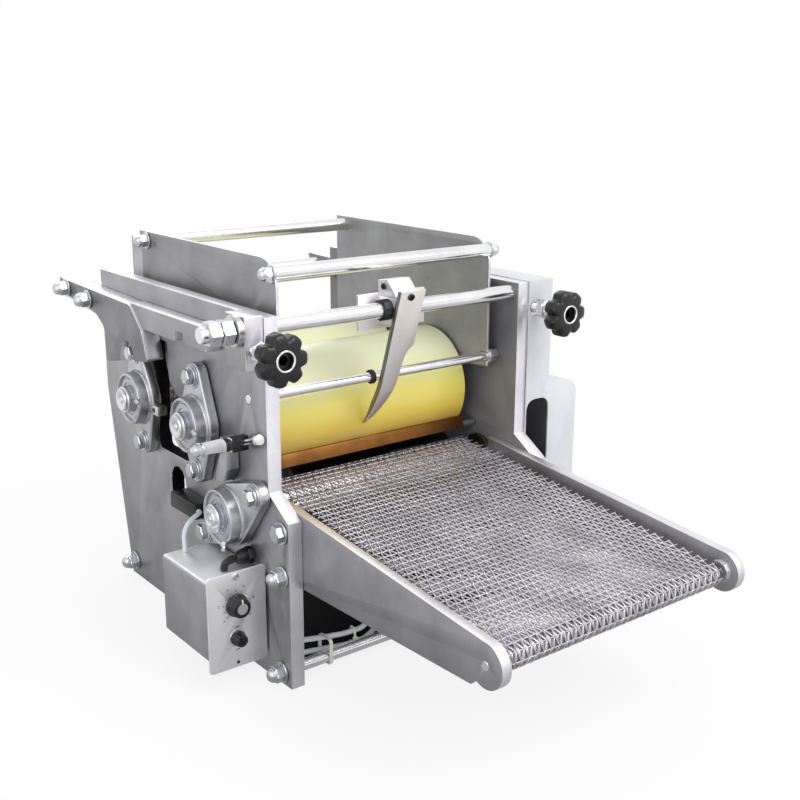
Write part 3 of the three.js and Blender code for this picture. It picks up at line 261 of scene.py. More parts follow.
# Rolled stainless sheet, brushed along its length
brushed_sheet = metal(
    "brushed_stainless_sheet", "sheet_steel", "#8c8c8e", "#acacb0", 0.46, (4, 60, 0.9), metallic=0.75)
# Pale panel sheet, brushed across
pale_panel = metal("pale_brushed_panel", "sheet_steel", "#f0f0f5", "#ffffff", 0.5, (40, 20, 0.8))
# Drawn wire of the belt
drawn_wire = metal("drawn_stainless_wire", "wire_mesh", "#aca8af", "#dedae2", 0.3, (6, 6, 6), 45.0, 0.01)
# Copper strip with a brown tarnish
copper_strip = metal("rolled_copper", "copper", "#6e4622", "#9a6a3a", 0.36, (50, 1.5, 1.5), 30.0)
# Sintered bronze of the plain bushes, made nearly black-brown
dark_bronze = metal("dark_bronze", "copper", "#403b34", "#57503f", 0.45, (1.0, 8, 8), 20.0, 0.01)
# Satin anodised aluminium sheet of the control box
satin_box = metal("satin_anodised_sheet", "box_paint", "#a4a3a8", "#c8c7cc", 0.4, (60, 1.0, 30))
# The top of that box, paler: painted light
lit_lid = metal(
    "anodised_lid_painted_light", "box_paint", "#e4e4ea", "#fbfbff", 0.56, (30, 30, 30), 26.0, 0.01)
# White powder coat on the gear cover
powder_coat = moulded("white_powder_coat", "cover_paint", "#d4d4da", "#dfdfe4", 0.42, 1.6, 0.03, 0.1)
# Moulded phenolic grips
black_grip = moulded("black_phenolic", "black_plastic", "#08080a", "#111113", 0.32, 0.8, 0.03)
# Printed marks on the panel
panel_ink = moulded("black_panel_ink", "black_plastic", "#1a1a1c", "#262629", 0.6, 1.0, 0.0)
# Milky white nylon ties
white_nylon = moulded("white_nylon", "white_plastic", "#e6e6e2", "#f6f6f2", 0.35, 2.0, 0.01)
# Cable sheath of grey-white PVC
cable_sheath = moulded("grey_pvc_sheath", "cable_sheath", "#dcdfe6", "#f0f2f6", 0.4, 3.0, 0.02)
# Black stoving paint on the motor
motor_black = moulded("black_stoving_paint", "motor_paint", "#101012", "#1f1f22", 0.35, 1.2, 0.03, 0.2)
# Dull black for the pan under the machine: painted shade
pan_shade_black = moulded("black_pan_painted_shade", "motor_paint", "#0b0a0d", "#131216", 0.85, 1.5, 0.02, 0.0, 0.12)


def roller_coating():
    """Ground yellow rubber coat with painted light and shade by height: pale on top, golden lower down and
    brown at the bottom
    """
    finish, tree, shader, place = start("yellow_coat_painted_shading", "roller_coat")
    low = (ROLLER.z - ROLLER_RADIUS) * MM + ORIGIN.z
    high = (ROLLER.z + ROLLER_RADIUS) * MM + ORIGIN.z
    parts = add(tree, "ShaderNodeSeparateXYZ", links={"Vector": place})
    height = remap(tree, parts.outputs["Z"], 0.0, 1.0, low, high)
    wobble = remap(tree, noise(tree, place, (60, 60, 60)), -0.05, 0.05)
    # Painted shade low down, a painted highlight above the middle, and pale painted light at the top
    stops = [(0.0, "#a87a3a"), (0.16, "#cfa452"), (0.38, "#f3d356"), (0.6, "#fdf078"), (0.85, "#f8f8d0"),
             (1.0, "#eef0c4")]
    colour = ramp(tree, maths(tree, "ADD", height, wobble), stops)
    rings = noise(tree, place, (1.2, 90, 90), 2.0)
    surface(tree, shader, colour, remap(tree, rings, 0.23, 0.27), rings, 0.001, 0.1)
    shader.inputs["Coat Weight"].default_value = 0.4
    shader.inputs["Coat Roughness"].default_value = 0.12
    return finish


yellow_coat = roller_coating()


# Shapes: each is a bmesh in machine millimetres

def mesh_of(name, shape):
    """A mesh made from a shape, which is used up"""
    mesh = bpy.data.meshes.new(name)
    shape.to_mesh(mesh)
    shape.free()
    return mesh


def joined(*shapes):
    """One shape from several, which are used up"""
    whole = bmesh.new()
    for shape in shapes:
        mesh = mesh_of("scratch", shape)
        whole.from_mesh(mesh)
        bpy.data.meshes.remove(mesh)
    return whole


def coloured(shape, index):
    """The shape with one of its piece's finishes on all its faces"""
    for face in shape.faces:
        face.material_index = index
    return shape


def moved(shape, matrix):
    bmesh.ops.transform(shape, matrix=matrix, verts=shape.verts)
    return shape


def pointed(shape, centre, axis, direction):
    """A shape at zero moved to centre, with its axis turned to a direction"""
    turn = Vector(axis).rotation_difference(Vector(direction)).to_matrix().to_4x4()
    return moved(shape, Matrix.Translation(Vector(centre)) @ turn)


def welded(shape):
    """The shape without double points, and with its faces outward"""
    bmesh.ops.remove_doubles(shape, verts=shape.verts, dist=0.001)
    bmesh.ops.recalc_face_normals(shape, faces=shape.faces)
    return shape


def arc(u, v, radius, start_at, end_at, steps=14):
    """Points on a circle about (u, v), from one angle to another"""
    angles = [start_at + (end_at - start_at) * step / steps for step in range(steps + 1)]
    return [(u + radius * cos(angle), v + radius * sin(angle)) for angle in angles]


def turned(profile, centre, direction=RIGHT, steps=64):
    """A profile of (along, radius) points turned about a line through centre"""
    shape = bmesh.new()
    points = [shape.verts.new((along, radius, 0)) for along, radius in profile]
    edges = [shape.edges.new(pair) for pair in zip(points, points[1:])]
    bmesh.ops.spin(
        shape, geom=points + edges, cent=(0, 0, 0), axis=(1, 0, 0), dvec=(0, 0, 0), angle=2 * pi,
        steps=steps, use_merge=True, use_duplicate=False)
    return pointed(welded(shape), centre, RIGHT, direction)


def disc(radius, length, centre, direction, chamfer=0.4, steps=40):
    """A round plug standing on centre and pointing along direction"""
    profile = [(0, 0), (0, radius - chamfer), (chamfer, radius), (length - chamfer, radius),
               (length, radius - chamfer), (length, 0)]
    return turned(profile, centre, direction, steps)


def bar(radius, low, high, y, z, chamfer=0.6, steps=48):
    """A round bar along X with chamfered ends"""
    return disc(radius, high - low, (low, y, z), RIGHT, chamfer, steps)


def bevelled(shape, edges, width, segments):
    bmesh.ops.bevel(
        shape, geom=edges, offset=width, offset_type="OFFSET", segments=segments, profile=0.5,
        affect="EDGES", clamp_overlap=True, material=-1)
    return shape


def softened(shape, width, segments=2):
    """Every edge sharper than 30 degrees gets a round of the given width"""
    edges = [e for e in shape.edges if len(e.link_faces) == 2 and e.calc_face_angle() > radians(30.0)]
    return bevelled(shape, edges, width, segments)


def prism(points, thickness, width, segments=2):
    """An outline in X and Y raised along Z, with its edges rounded"""
    shape = bmesh.new()
    face = shape.faces.new([shape.verts.new((u, v, 0)) for u, v in points])
    raised = bmesh.ops.extrude_face_region(shape, geom=[face])["geom"]
    top = [part for part in raised if isinstance(part, bmesh.types.BMVert)]
    bmesh.ops.translate(shape, vec=(0, 0, thickness), verts=top)
    bmesh.ops.recalc_face_normals(shape, faces=shape.faces)
    return softened(shape, width, segments)


def box(low, high, width=0.5, segments=2):
    """A block between two corners with rounded edges"""
    shape = bmesh.new()
    bmesh.ops.create_cube(shape, size=1)
    size = Vector(high) - Vector(low)
    bmesh.ops.scale(shape, vec=size, verts=shape.verts)
    bmesh.ops.translate(shape, vec=(Vector(low) + Vector(high)) / 2, verts=shape.verts)
    return softened(shape, width, segments) if width else shape


def hexagon(radius, length, centre, direction, chamfer=0.7):
    """A hexagon standing on centre and pointing along direction, its rims broken"""
    shape = bmesh.new()
    bmesh.ops.create_cone(shape, cap_ends=True, segments=6, radius1=radius, radius2=radius, depth=length)
    bmesh.ops.translate(shape, vec=(0, 0, length / 2), verts=shape.verts)
    rims = [e for e in shape.edges if abs(e.verts[0].co.z - e.verts[1].co.z) < length / 4]
    return pointed(bevelled(shape, rims, chamfer, 1), centre, (0, 0, 1), direction)


def along(centre, direction, distance):
    """The point at a distance from centre"""
    return Vector(centre) + Vector(direction).normalized() * distance


WASHER = 2.0


def bolt(centre, direction, radius=9.0):
    """A hexagon head on its washer, with the forged crown of the head"""
    foot = WASHER - 0.1
    height = radius * 0.72
    head = hexagon(radius, height, along(centre, direction, foot), direction, radius * 0.09)
    crown = disc(radius * 0.74, 0.5, along(centre, direction, foot + height - 0.05), direction, 0.3)
    return joined(head, crown, disc(radius * 1.25, WASHER, centre, direction))


def domed_nut(centre, direction, radius=9.0):
    """A cap nut: a washer, a hexagon and a polished dome"""
    height = radius * 0.95
    washer = disc(radius * 1.2, WASHER, centre, direction)
    nut = hexagon(radius, height, along(centre, direction, WASHER - 0.1), direction, radius * 0.1)
    dome = [(0, 0)] + [(0.78 * rise, 0.84 * reach) for reach, rise in arc(0, 0, radius, 0, pi / 2, 8)]
    return joined(washer, nut, turned(dome, along(centre, direction, 1.8 + height), direction, 40))


def socket_screw(centre, direction, radius, height):
    """A socket head with its recess"""
    profile = [(0, 0), (0, radius), (height - 0.4, radius), (height, radius - 0.4),
               (height, radius * 0.55), (height * 0.45, radius * 0.5), (height * 0.45, 0)]
    return turned(profile, centre, direction, 24)


def threads(radius, start_at, end_at, centre, direction):
    """A screw thread drawn as rings"""
    pitch = 1.5
    depth = pitch * 0.45
    profile = [(start_at, 0), (start_at, radius - depth)]
    count = int((end_at - start_at) / pitch)
    step = (end_at - start_at) / count
    for ring in range(count):
        profile.append((start_at + (ring + 0.5) * step, radius))
        profile.append((start_at + (ring + 1) * step, radius - depth))
    profile.append((end_at, 0))
    return turned(profile, centre, direction, 32)


def wire_curve(radius, resolution):
    """An empty curve whose splines get a round section and closed ends"""
    curve = bpy.data.curves.new("scratch", "CURVE")
    curve.dimensions = "3D"
    curve.bevel_depth = radius
    curve.bevel_resolution = resolution
    curve.use_fill_caps = True
    return curve


def meshed(curve):
    """A curve turned into a shape"""
    holder = bpy.data.objects.new("scratch", curve)
    mesh = bpy.data.meshes.new_from_object(holder)
    shape = bmesh.new()
    shape.from_mesh(mesh)
    bpy.data.objects.remove(holder)
    bpy.data.meshes.remove(mesh)
    bpy.data.curves.remove(curve)
    return shape


def tube(points, radius):
    """A round tube on a smooth curve through the points"""
    curve = wire_curve(radius, 3)
    curve.resolution_u = 10
    spline = curve.splines.new("BEZIER")
    spline.bezier_points.add(len(points) - 1)
    for knot, point in zip(spline.bezier_points, points):
        knot.co = point
        knot.handle_left_type = "AUTO"
        knot.handle_right_type = "AUTO"
    return meshed(curve)


def wires(paths, radius):
    """Four-sided wires along many polylines"""
    curve = wire_curve(radius, 0)
    for path in paths:
        spline = curve.splines.new("POLY")
        spline.points.add(len(path) - 1)
        for knot, point in zip(spline.points, path):
            knot.co = (*point, 1.0)
    return meshed(curve)


def in_scene(name, data):
    """A new object that is linked to the scene"""
    made = bpy.data.objects.new(name, data)
    bpy.context.scene.collection.objects.link(made)
    return made


def piece(name, shape, finishes, body, replaced=(), smooth=35.0):
    """A finished piece from a shape in machine millimetres"""
    moved(shape, Matrix.Translation(ORIGIN) @ Matrix.Diagonal((MM, MM, MM, 1)))
    finished(name, shape, finishes, body, replaced, smooth)


def finished(name, shape, finishes, body, replaced, smooth=40.0):
    """The same from a shape in the row frame; edges sharper than the angle stay sharp"""
    mesh = mesh_of(name, shape)
    for finish in finishes:
        mesh.materials.append(finish)
    mesh.shade_smooth()
    mesh.set_sharp_from_angle(angle=radians(smooth))
    made = in_scene(name, mesh)
    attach(made, body)
    if replaced:
        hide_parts(*replaced)


def node_shape(node):
    """A welded copy of a node with its flat faces whole again"""
    shape = bmesh.new()
    shape.from_mesh(frame["nodes"][node].data)
    coloured(shape, 0)
    bmesh.ops.remove_doubles(shape, verts=shape.verts, dist=0.01 * MM)
    bmesh.ops.dissolve_limit(shape, angle_limit=radians(1.0), verts=shape.verts, edges=shape.edges)
    return shape


def broken_edges(node, width, finishes, choose=None):
    """The node's own form with its sharp edges rounded; choose gives each face its finish"""
    shape = softened(node_shape(node), width * MM)
    if choose:
        for face in shape.faces:
            face.material_index = choose(face)
    return finished(node + "_finished", shape, finishes, BODY_OF[node], [node])


# Pieces that keep their node's form

def edge_or_face(face):
    """Faces to the left and right get the first finish, and the edges between them the second"""
    return 0 if abs(face.normal.x) > 0.8 else 1


def plate_surface(face):
    """Ground outer faces, nearly white edges in painted light, near-black painted shade on the walls of
    windows and holes, and dull inner faces
    """
    place = place_of(face)
    faces_aside = abs(face.normal.x) > 0.8
    # Walls inside the windows and holes take the near-black painted shade
    if not faces_aside and 45 < place.y < 345 and 25 < place.z < 350:
        return 2
    return 3 if faces_aside and abs(place.x) < PLATE_INNER + 1 else edge_or_face(face)


plate_finishes = [ground_plate, lit_edge, opening_shade, dull_plate]
for side, hand in HANDS:
    broken_edges(hand + "side_plate", 0.6, plate_finishes, plate_surface)
# Edges and tops of these pieces take the nearly white steel: painted light
for name, width, broad_face in (
        ("front_block", 0.8, ground_plate), ("pull_bar", 0.8, ground_plate),
        ("horn_bracket", 1.0, bracket_bar), ("hopper_wall", 0.3, brushed_sheet)):
    for side, hand in HANDS:
        broken_edges(hand + name, width, [broad_face, lit_edge], edge_or_face)
for node in ("front_roller_gear", "rear_roller_gear", "conveyor_gear", "motor_pinion"):
    broken_edges(node, 0.3, [gear_steel])
broken_edges("rear_right_slide_block", 0.6, [dark_bronze])
broken_edges("scraper_blade", 0.2, [copper_strip])
# The blade's faces to the left and right take the darker bracket bar steel: painted shade on its sides
broken_edges("divider_blade", 0.5, [polished_strip, bracket_bar], lambda face: 1 - edge_or_face(face))
broken_edges("gear_cover", 0.5, [powder_coat])
broken_edges("gearbox", 2.5, [blackened])
# Its upward faces take the paler lid finish: painted light on the top
broken_edges("control_box", 1.0, [satin_box, lit_lid], lambda face: 1 if face.normal.z > 0.8 else 0)
broken_edges("cable_tie", 0.3, [white_nylon])
broken_edges("cable_clamp", 1.2, [black_grip])


def conveyor_arm(side, node):
    """The arm from its node, cut clear of the faceted bolt heads, and turned heads for them"""
    shape = node_shape(node)
    cut_at = ORIGIN + Vector((side * (PLATE_INNER - SEAT) * MM, 0, 0))
    bmesh.ops.bisect_plane(
        shape, geom=shape.verts[:] + shape.edges[:] + shape.faces[:], plane_co=cut_at,
        plane_no=(side, 0, 0), clear_outer=True, dist=0.0001)
    open_edges = [e for e in shape.edges if len(e.link_faces) == 1]
    bmesh.ops.holes_fill(shape, edges=open_edges)
    bmesh.ops.recalc_face_normals(shape, faces=shape.faces)
    softened(shape, 0.6 * MM)
    # Edges and tops take the nearly white steel: painted light
    for face in shape.faces:
        face.material_index = edge_or_face(face)
    finished(node + "_finished", shape, [ground_plate, lit_edge], "frame", [node])
    x, y, bolt_z, nut_z = side * (PLATE_OUTER + SEAT), 12, 160, 115
    heads = joined(bolt((x, y, bolt_z), (side, 0, 0)), domed_nut((x, y, nut_z), (side, 0, 0)))
    piece(node + "_bolts", heads, [plated_nut], "frame")


for side, hand in HANDS:
    conveyor_arm(side, hand + "conveyor_arm")


# Rods and their nuts

def divider_rod():
    """The rod that carries the divider, with a washer and two nuts at its left end"""
    y, z = DIVIDER_ROD
    rod = bar(8, -228, 188, y, z, 1.0)
    washer = disc(15, 6, (-188.9, y, z), LEFT)
    nuts = [hexagon(13, 12, (x, y, z), LEFT, 1.2) for x in (-195.5, -209)]
    fittings = coloured(joined(washer, *nuts), 1)
    piece("divider_rod_bar", joined(rod, fittings), [bright_chrome, plated_nut], "frame", ["divider_rod"])


def guide_rod():
    """The thin rod before the front roller, with a ring and a nut outside each trough wall"""
    y, z = GUIDE_ROD
    rod = bar(5, -PLATE_OUTER, PLATE_OUTER, y, z)
    shapes = []
    for side in (-1, 1):
        shapes.append(disc(9, 3.5, (side * (HOPPER_OUTER + SEAT), y, z), (side, 0, 0)))
        shapes.append(hexagon(8, 8.5, (side * (HOPPER_OUTER + 4.5), y, z), (side, 0, 0)))
    nuts = coloured(joined(*shapes), 1)
    piece("guide_rod_bar", joined(rod, nuts), [bright_chrome, plated_nut], "frame", ["guide_rod"])


def capped_rod(node, body, radius, reach, y, z, nut_radius):
    """A rod with a cap nut on each end"""
    rod = bar(radius, -reach, reach, y, z)
    nuts = joined(*[domed_nut((side * reach, y, z), (side, 0, 0), nut_radius) for side in (-1, 1)])
    piece(node + "_bar", joined(rod, coloured(nuts, 1)), [bright_chrome, plated_nut], body, [node])


divider_rod()
guide_rod()
capped_rod("front_tie_rod", "frame", 6, PLATE_OUTER + SEAT, 16.0, 12.5, 9)
capped_rod("rear_tie_rod", "frame", 6, PLATE_OUTER + SEAT, 344.0, 18.0, 9)
capped_rod("front_hopper_rod", "frame", 7.5, HOPPER_OUTER + SEAT, 68.0, 396.5, 7.5)
capped_rod("rear_hopper_rod", "frame", 7.5, HOPPER_OUTER + SEAT, 332.0, 400.0, 7.5)
capped_rod("lower_horn_rod", "carriage", 6, HORN_OUTER, 386.0, 331.0, 9)
capped_rod("upper_horn_rod", "carriage", 6, HORN_OUTER, 447.0, 336.0, 9)


# Rollers, shafts and plain bushes

def roller(node, body):
    """A coated sleeve whose ends show the steel core"""
    centre = middle(node)
    half = ROLLER_HALF
    core_radius, bore, rounding = 48, 12.8, 2
    coat = [(-half, core_radius)]
    coat += arc(rounding - half, ROLLER_RADIUS - rounding, rounding, pi, pi / 2, 6)
    coat += [(-x, radius) for x, radius in reversed(coat)]
    core = [(-half + 1.5, bore), (-half + 1.5, 40), (-half, 41), (-half, core_radius)]
    core_right = [(-x, radius) for x, radius in core]
    sleeve = turned(coat, centre, steps=128)
    ends = joined(turned(core, centre, steps=96), turned(core_right, centre, steps=96))
    whole = welded(joined(sleeve, coloured(ends, 1)))
    piece(node + "_sleeve", whole, [yellow_coat, turned_bright], body, [node], 30.0)


def shaft(node, body, radius, y, z, extra=()):
    """A turned shaft with its bearing ring and set screw on the left"""
    ring_start = -PLATE_OUTER - 2
    ring_end = -PLATE_OUTER - 31
    ring_radius = 14.5
    profile = [
        (ring_end - 3, 0), (ring_end - 3, 3), (ring_end - 2, 4), (ring_end - 3, 5.5),
        (ring_end - 3, radius - 1), (ring_end - 2, radius), (ring_end, radius), (ring_end, 13.6),
        (ring_end + 0.8, ring_radius),
        (ring_start, ring_radius), (ring_start, radius), (SHAFT_END - 1, radius), (SHAFT_END, radius - 1),
        (SHAFT_END, 0)]
    set_screw = socket_screw((ring_end + 4, y, z + 13.4), (0, 0.25, 1), 1.9, 1.2)
    shape = joined(turned(profile, (0, y, z)), coloured(set_screw, 1), *extra)
    piece(node + "_turned", shape, [turned_bright, blackened], body, [node])


def idler(node, body, radius, axle_start, axle_end):
    """A small drum on a thin axle"""
    centre = middle(node)
    drum = bar(radius, -DRUM_HALF, DRUM_HALF, centre.y, centre.z, 0.8, 40)
    axle = bar(4, axle_start, axle_end, centre.y, centre.z, 0.5, 32)
    piece(node + "_turned", joined(drum, axle), [turned_bright], body, [node])


def bush(node, bore):
    """A flanged bush in the right plate"""
    centre = middle(node)
    flange_x, barrel_x = 148.7, PLATE_INNER - SEAT
    flange_radius, barrel_radius = 23, 18
    profile = [(flange_x, bore), (flange_x, flange_radius - 1), (flange_x + 1, flange_radius),
               (barrel_x, flange_radius), (barrel_x, barrel_radius), (PLATE_OUTER, barrel_radius),
               (PLATE_OUTER, bore), (flange_x, bore)]
    piece(node + "_turned", turned(profile, (0, centre.y, centre.z)), [dark_bronze], "frame", [node])


roller("front_roller", "front_roller_set")
roller("rear_roller", "rear_roller_set")
shaft("front_roller_shaft", "front_roller_set", SHAFT_RADIUS, ROLLER.y, ROLLER.z)
shaft("rear_roller_shaft", "rear_roller_set", SHAFT_RADIUS, REAR_ROLLER.y, REAR_ROLLER.z)
drive_drum = bar(20.3, -DRUM_HALF, DRUM_HALF, DRIVE.y, DRIVE.z, 1.0, 80)
shaft("drive_roller", "conveyor_drive", 10, DRIVE.y, DRIVE.z, [drive_drum])
idler("tail_roller", "tail_idler", 8.6, -152.7, 157.7)
idler("support_roller", "support_idler", 8, -148.7, 148.7)
tail_cap = disc(9.5, 9, (PLATE_INNER + SEAT, TAIL.y, TAIL.z), RIGHT, 2.0)
piece("right_tail_cap", tail_cap, [plated_nut], "frame")
bush("front_right_bush", 12.8)
bush("lower_right_bush", 10.3)


# Flange bearings

def lozenge(spacing, centre_radius, end_radius):
    """The outline of a two-bolt flange, counter-clockwise from its right end"""
    lean = acos((centre_radius - end_radius) / (spacing / 2))
    right_end = arc(spacing / 2, 0, end_radius, -lean, lean)
    left_end = arc(-spacing / 2, 0, end_radius, pi - lean, pi + lean)
    top = arc(0, 0, centre_radius, lean, pi - lean)
    bottom = arc(0, 0, centre_radius, pi + lean, 2 * pi - lean)
    return right_end + top + left_end + bottom


def flange_bearing(node, body, spacing, turn, y, z):
    """A cast flange leaning by turn, with its boss, seal ring, grease nipple and two bolts"""
    inner = -PLATE_OUTER - SEAT
    face = inner - 25
    plate = prism(lozenge(spacing, 32, 14)[:-1], 11.5, 2.2, 3)
    bmesh.ops.remove_doubles(plate, verts=plate.verts, dist=0.01)
    rise, run = sin(turn), cos(turn)
    moved(plate, Matrix(((0, 0, -1, inner), (run, -rise, 0, y), (rise, run, 0, z), (0, 0, 0, 1))))
    bmesh.ops.recalc_face_normals(plate, faces=plate.faces)
    boss = turned([
        (inner - 10, 31), (inner - 12.5, 30.5), (inner - 14, 29.3), (face + 3, 28.5), (face + 0.8, 28),
        (face, 27), (face, 25.8), (face + 0.8, 25.2), (face + 3.6, 24.8), (face + 3.6, 22.5),
        (face + 2.4, 22), (face + 2.4, 18), (face + 3.6, 17.4), (face + 3.6, 14.8)], (0, y, z), steps=72)
    ends = [(y + end * spacing / 2 * run, z + end * spacing / 2 * rise) for end in (-1, 1)]
    pads = [disc(12.5, 1.6, (inner - 11.2, v, w), LEFT) for v, w in ends]
    heads = [bolt((inner - 12.6, v, w), LEFT, 8.4) for v, w in ends]
    aside = Vector((-0.35, -rise, run)).normalized()
    foot = Vector((inner - 17, y, z)) + aside * 27
    ball = [(0, 0), (0, 2.3), (1.4, 2.7), (2.8, 1.8), (3.2, 0)]
    nipple = joined(
        hexagon(3.4, 4, foot, aside, 0.3), disc(2.0, 7.5, foot, aside, 0.3, 20),
        turned(ball, along(foot, aside, 6.5), aside, 20))
    shape = joined(plate, boss, *pads, coloured(joined(*heads, nipple), 1))
    piece(node + "_cast", shape, [cast_housing, plated_nut], body, [node], 32.0)


def bearing_lug():
    """A bright lug with a tapped hole on the rear bearing's boss"""
    y = REAR_ROLLER.y
    lug = box((-184, y - 53, 226), (-173, y - 30, 237), 0.8)
    hole = disc(2.6, 0.5, (-183.9, y - 44, 231.5), LEFT, 0.2, 24)
    piece("rear_bearing_lug", joined(lug, coloured(hole, 1)), [plated_nut, blackened], "carriage")


flange_bearing("front_left_bearing", "frame", 99, pi / 2, ROLLER.y, ROLLER.z)
flange_bearing("rear_left_bearing", "carriage", 99, radians(83), REAR_ROLLER.y, REAR_ROLLER.z)
flange_bearing("lower_left_bearing", "frame", 117, radians(146), DRIVE.y, DRIVE.z)
bearing_lug()


# Adjusting screws and star knobs

def knob_ring(depth, radius, share):
    """Points of a ring of fat lobes and narrow valleys; share 0 makes it round"""
    lobes, count = 7, 140
    points = []
    for step in range(count):
        angle = step / count * 2 * pi
        valley = ((1 - cos(lobes * angle)) / 2) ** 3
        reach = radius * (1 - 0.22 * share * valley)
        points.append((reach * cos(angle), depth, reach * sin(angle)))
    return points


def lofted(rings):
    """A closed skin over rings of points, which lie one behind another"""
    shape = bmesh.new()
    loops = []
    for ring in rings:
        points = [shape.verts.new(point) for point in ring]
        loops.append([shape.edges.new((points[i - 1], points[i])) for i in range(len(points))])
    for lower, upper in zip(loops, loops[1:]):
        bmesh.ops.bridge_loops(shape, edges=lower + upper)
    for loop in (loops[0], loops[-1]):
        bmesh.ops.holes_fill(shape, edges=loop)
    bmesh.ops.recalc_face_normals(shape, faces=shape.faces)
    return shape


def star_knob(x, node, body):
    """A lobed grip with a bright ring round its bore"""
    # Depth behind the front face, radius, and share of the lobes
    sections = [(5.0, 7.4, 0), (0.6, 8.0, 0), (0.0, 8.6, 0), (0.0, 12.0, 0.1), (0.3, 17.5, 0.6),
                (1.0, 21.4, 0.9), (2.4, 23.9, 1), (4.6, 25.0, 1), (14.4, 25.0, 1), (16.8, 23.8, 1),
                (18.4, 21.0, 0.9), (19.0, 16.0, 0.5)]
    grip = lofted([knob_ring(*section) for section in sections])
    rim = [(0.2, 8.2), (-0.3, 8.4), (-0.5, 8.9), (-0.5, 9.6), (-0.2, 10.1), (0.2, 10.2), (0.2, 8.2)]
    whole = joined(grip, coloured(turned(rim, (0, 0, 0), BACK), 1))
    moved(whole, Matrix.Translation((x, -20, KNOB_Z)))
    piece(node + "_grip", whole, [black_grip, bright_chrome], body, [node], 50.0)


def adjusting_screw(x, node, body):
    """A threaded spindle with its hub sleeve, lock nut and collar"""
    centre = (x, 0, KNOB_Z)
    sleeve = [(-0.7, 0), (-0.7, 9.0), (0, 9.5), (8, 9.5), (9, 8.6), (10, 8.6), (11, 9.5), (12, 9.0),
              (12, 0)]
    shapes = [
        threads(5, 24, 147, centre, BACK),
        disc(5, 30, (x, -15, KNOB_Z), BACK),
        turned(sleeve, centre, BACK, 48),
        coloured(hexagon(10.5, 9, (x, 15, KNOB_Z), BACK, 0.9), 1),
        disc(7.5, 3, (x, 12, KNOB_Z), BACK),
        coloured(hexagon(9, 4.7, (x, 70.3, KNOB_Z), BACK), 1)]
    piece(node + "_turned", joined(*shapes), [turned_bright, plated_nut], body, [node])


for side, hand in HANDS:
    star_knob(side * KNOB_X, hand + "star_knob", hand + "knob")
    adjusting_screw(side * KNOB_X, hand + "adjusting_screw", hand + "knob")


# Scraper and divider

def lug_or_bar(face):
    """The tapped lug that the stop screw runs through is blackened"""
    place = place_of(face)
    return 1 if 60.5 < place.y < 70 and place.x < -170 and abs(face.normal.x) < 0.9 else 0


def collar_or_block(face):
    """The collar that stands out to the left of the block is blackened"""
    place = place_of(face)
    return 1 if place.x < -16.2 and place.y < 58.5 else 0


def divider_details():
    """The clamp's head, the socket screws of the clamp and the blade, and the ring on the guide rod"""
    y, z = DIVIDER_ROD
    head = prism([(29, 364), (y + 1, 382), (y + 16, 380), (y + 16, 364)], 28.8, 0.8)
    moved(head, Matrix(((0, 0, 1, -16.4), (1, 0, 0, 0), (0, 1, 0, 0), (0, 0, 0, 1))))
    bmesh.ops.recalc_face_normals(head, faces=head.faces)
    piece("divider_clamp_head", head, [milled_block], "divider")
    off_blade = Vector((0, -0.95, -0.31)).normalized()
    blade_screw = socket_screw((-4.8, 23.1, 366.6), off_blade, 3.6, 2.2)
    side_screw = socket_screw((-16.3, y + 6, z + 22.5), LEFT, 3.2, 1.8)
    plate_screw = socket_screw((38, y + 15, z - 9), FORWARD, 3.2, 2.4)
    screws = joined(blade_screw, side_screw, coloured(plate_screw, 1))
    piece("divider_screws", screws, [blackened, plated_nut], "divider")
    rod_y, rod_z = GUIDE_ROD
    profile = [(-24, 5.2), (-24, 6.8), (-23.4, 7.4), (-20.1, 7.4), (-19.5, 6.8), (-19.5, 5.2), (-24, 5.2)]
    piece("guide_rod_ring", turned(profile, (0, rod_y, rod_z), steps=40), [blackened], "frame")


broken_edges("scraper_shaft", 0.5, [cast_housing])
broken_edges("scraper_adjuster", 0.4, [turned_bright, blackened], lug_or_bar)
broken_edges("divider_block", 0.8, [milled_block, blackened], collar_or_block)
divider_details()


# Conveyor belt

WIRE_RADIUS = 0.95
BELT_MID = 1.5
DRIVE_BELT = 20.6 + BELT_MID
TAIL_BELT = 8.6 + BELT_MID
BELT_HALF = 133.0
ROW_PITCH = 8.8
LOOPS = 31


class BeltPath:
    """The belt's middle line round the drive and tail rollers, by the distance run along it"""

    def __init__(self):
        self.drive = Vector((DRIVE.y, DRIVE.z))
        self.tail = Vector((TAIL.y, TAIL.z))
        span = self.tail - self.drive
        heading = atan2(span.y, span.x) % (2 * pi)
        spread = acos((DRIVE_BELT - TAIL_BELT) / span.length)
        self.upper = heading - spread
        self.lower = heading + spread
        self.straight = (span.length ** 2 - (DRIVE_BELT - TAIL_BELT) ** 2) ** 0.5
        self.tail_arc = 2 * spread * TAIL_BELT
        drive_arc = (2 * pi - 2 * spread) * DRIVE_BELT
        self.length = 2 * self.straight + self.tail_arc + drive_arc

    def at(self, x, run, height):
        """The point at x, a distance along the line and a height outside it"""
        run %= self.length
        if run < self.straight:
            share, angle = run / self.straight, self.upper
        elif run < self.straight + self.tail_arc:
            share, angle = 1.0, self.upper + (run - self.straight) / TAIL_BELT
        elif run < 2 * self.straight + self.tail_arc:
            share, angle = 1 - (run - self.straight - self.tail_arc) / self.straight, self.lower
        else:
            share, angle = 0.0, self.lower + (run - 2 * self.straight - self.tail_arc) / DRIVE_BELT
        centre = self.drive.lerp(self.tail, share)
        radius = DRIVE_BELT + (TAIL_BELT - DRIVE_BELT) * share + height
        return Vector((x, centre.x + radius * cos(angle), centre.y + radius * sin(angle)))


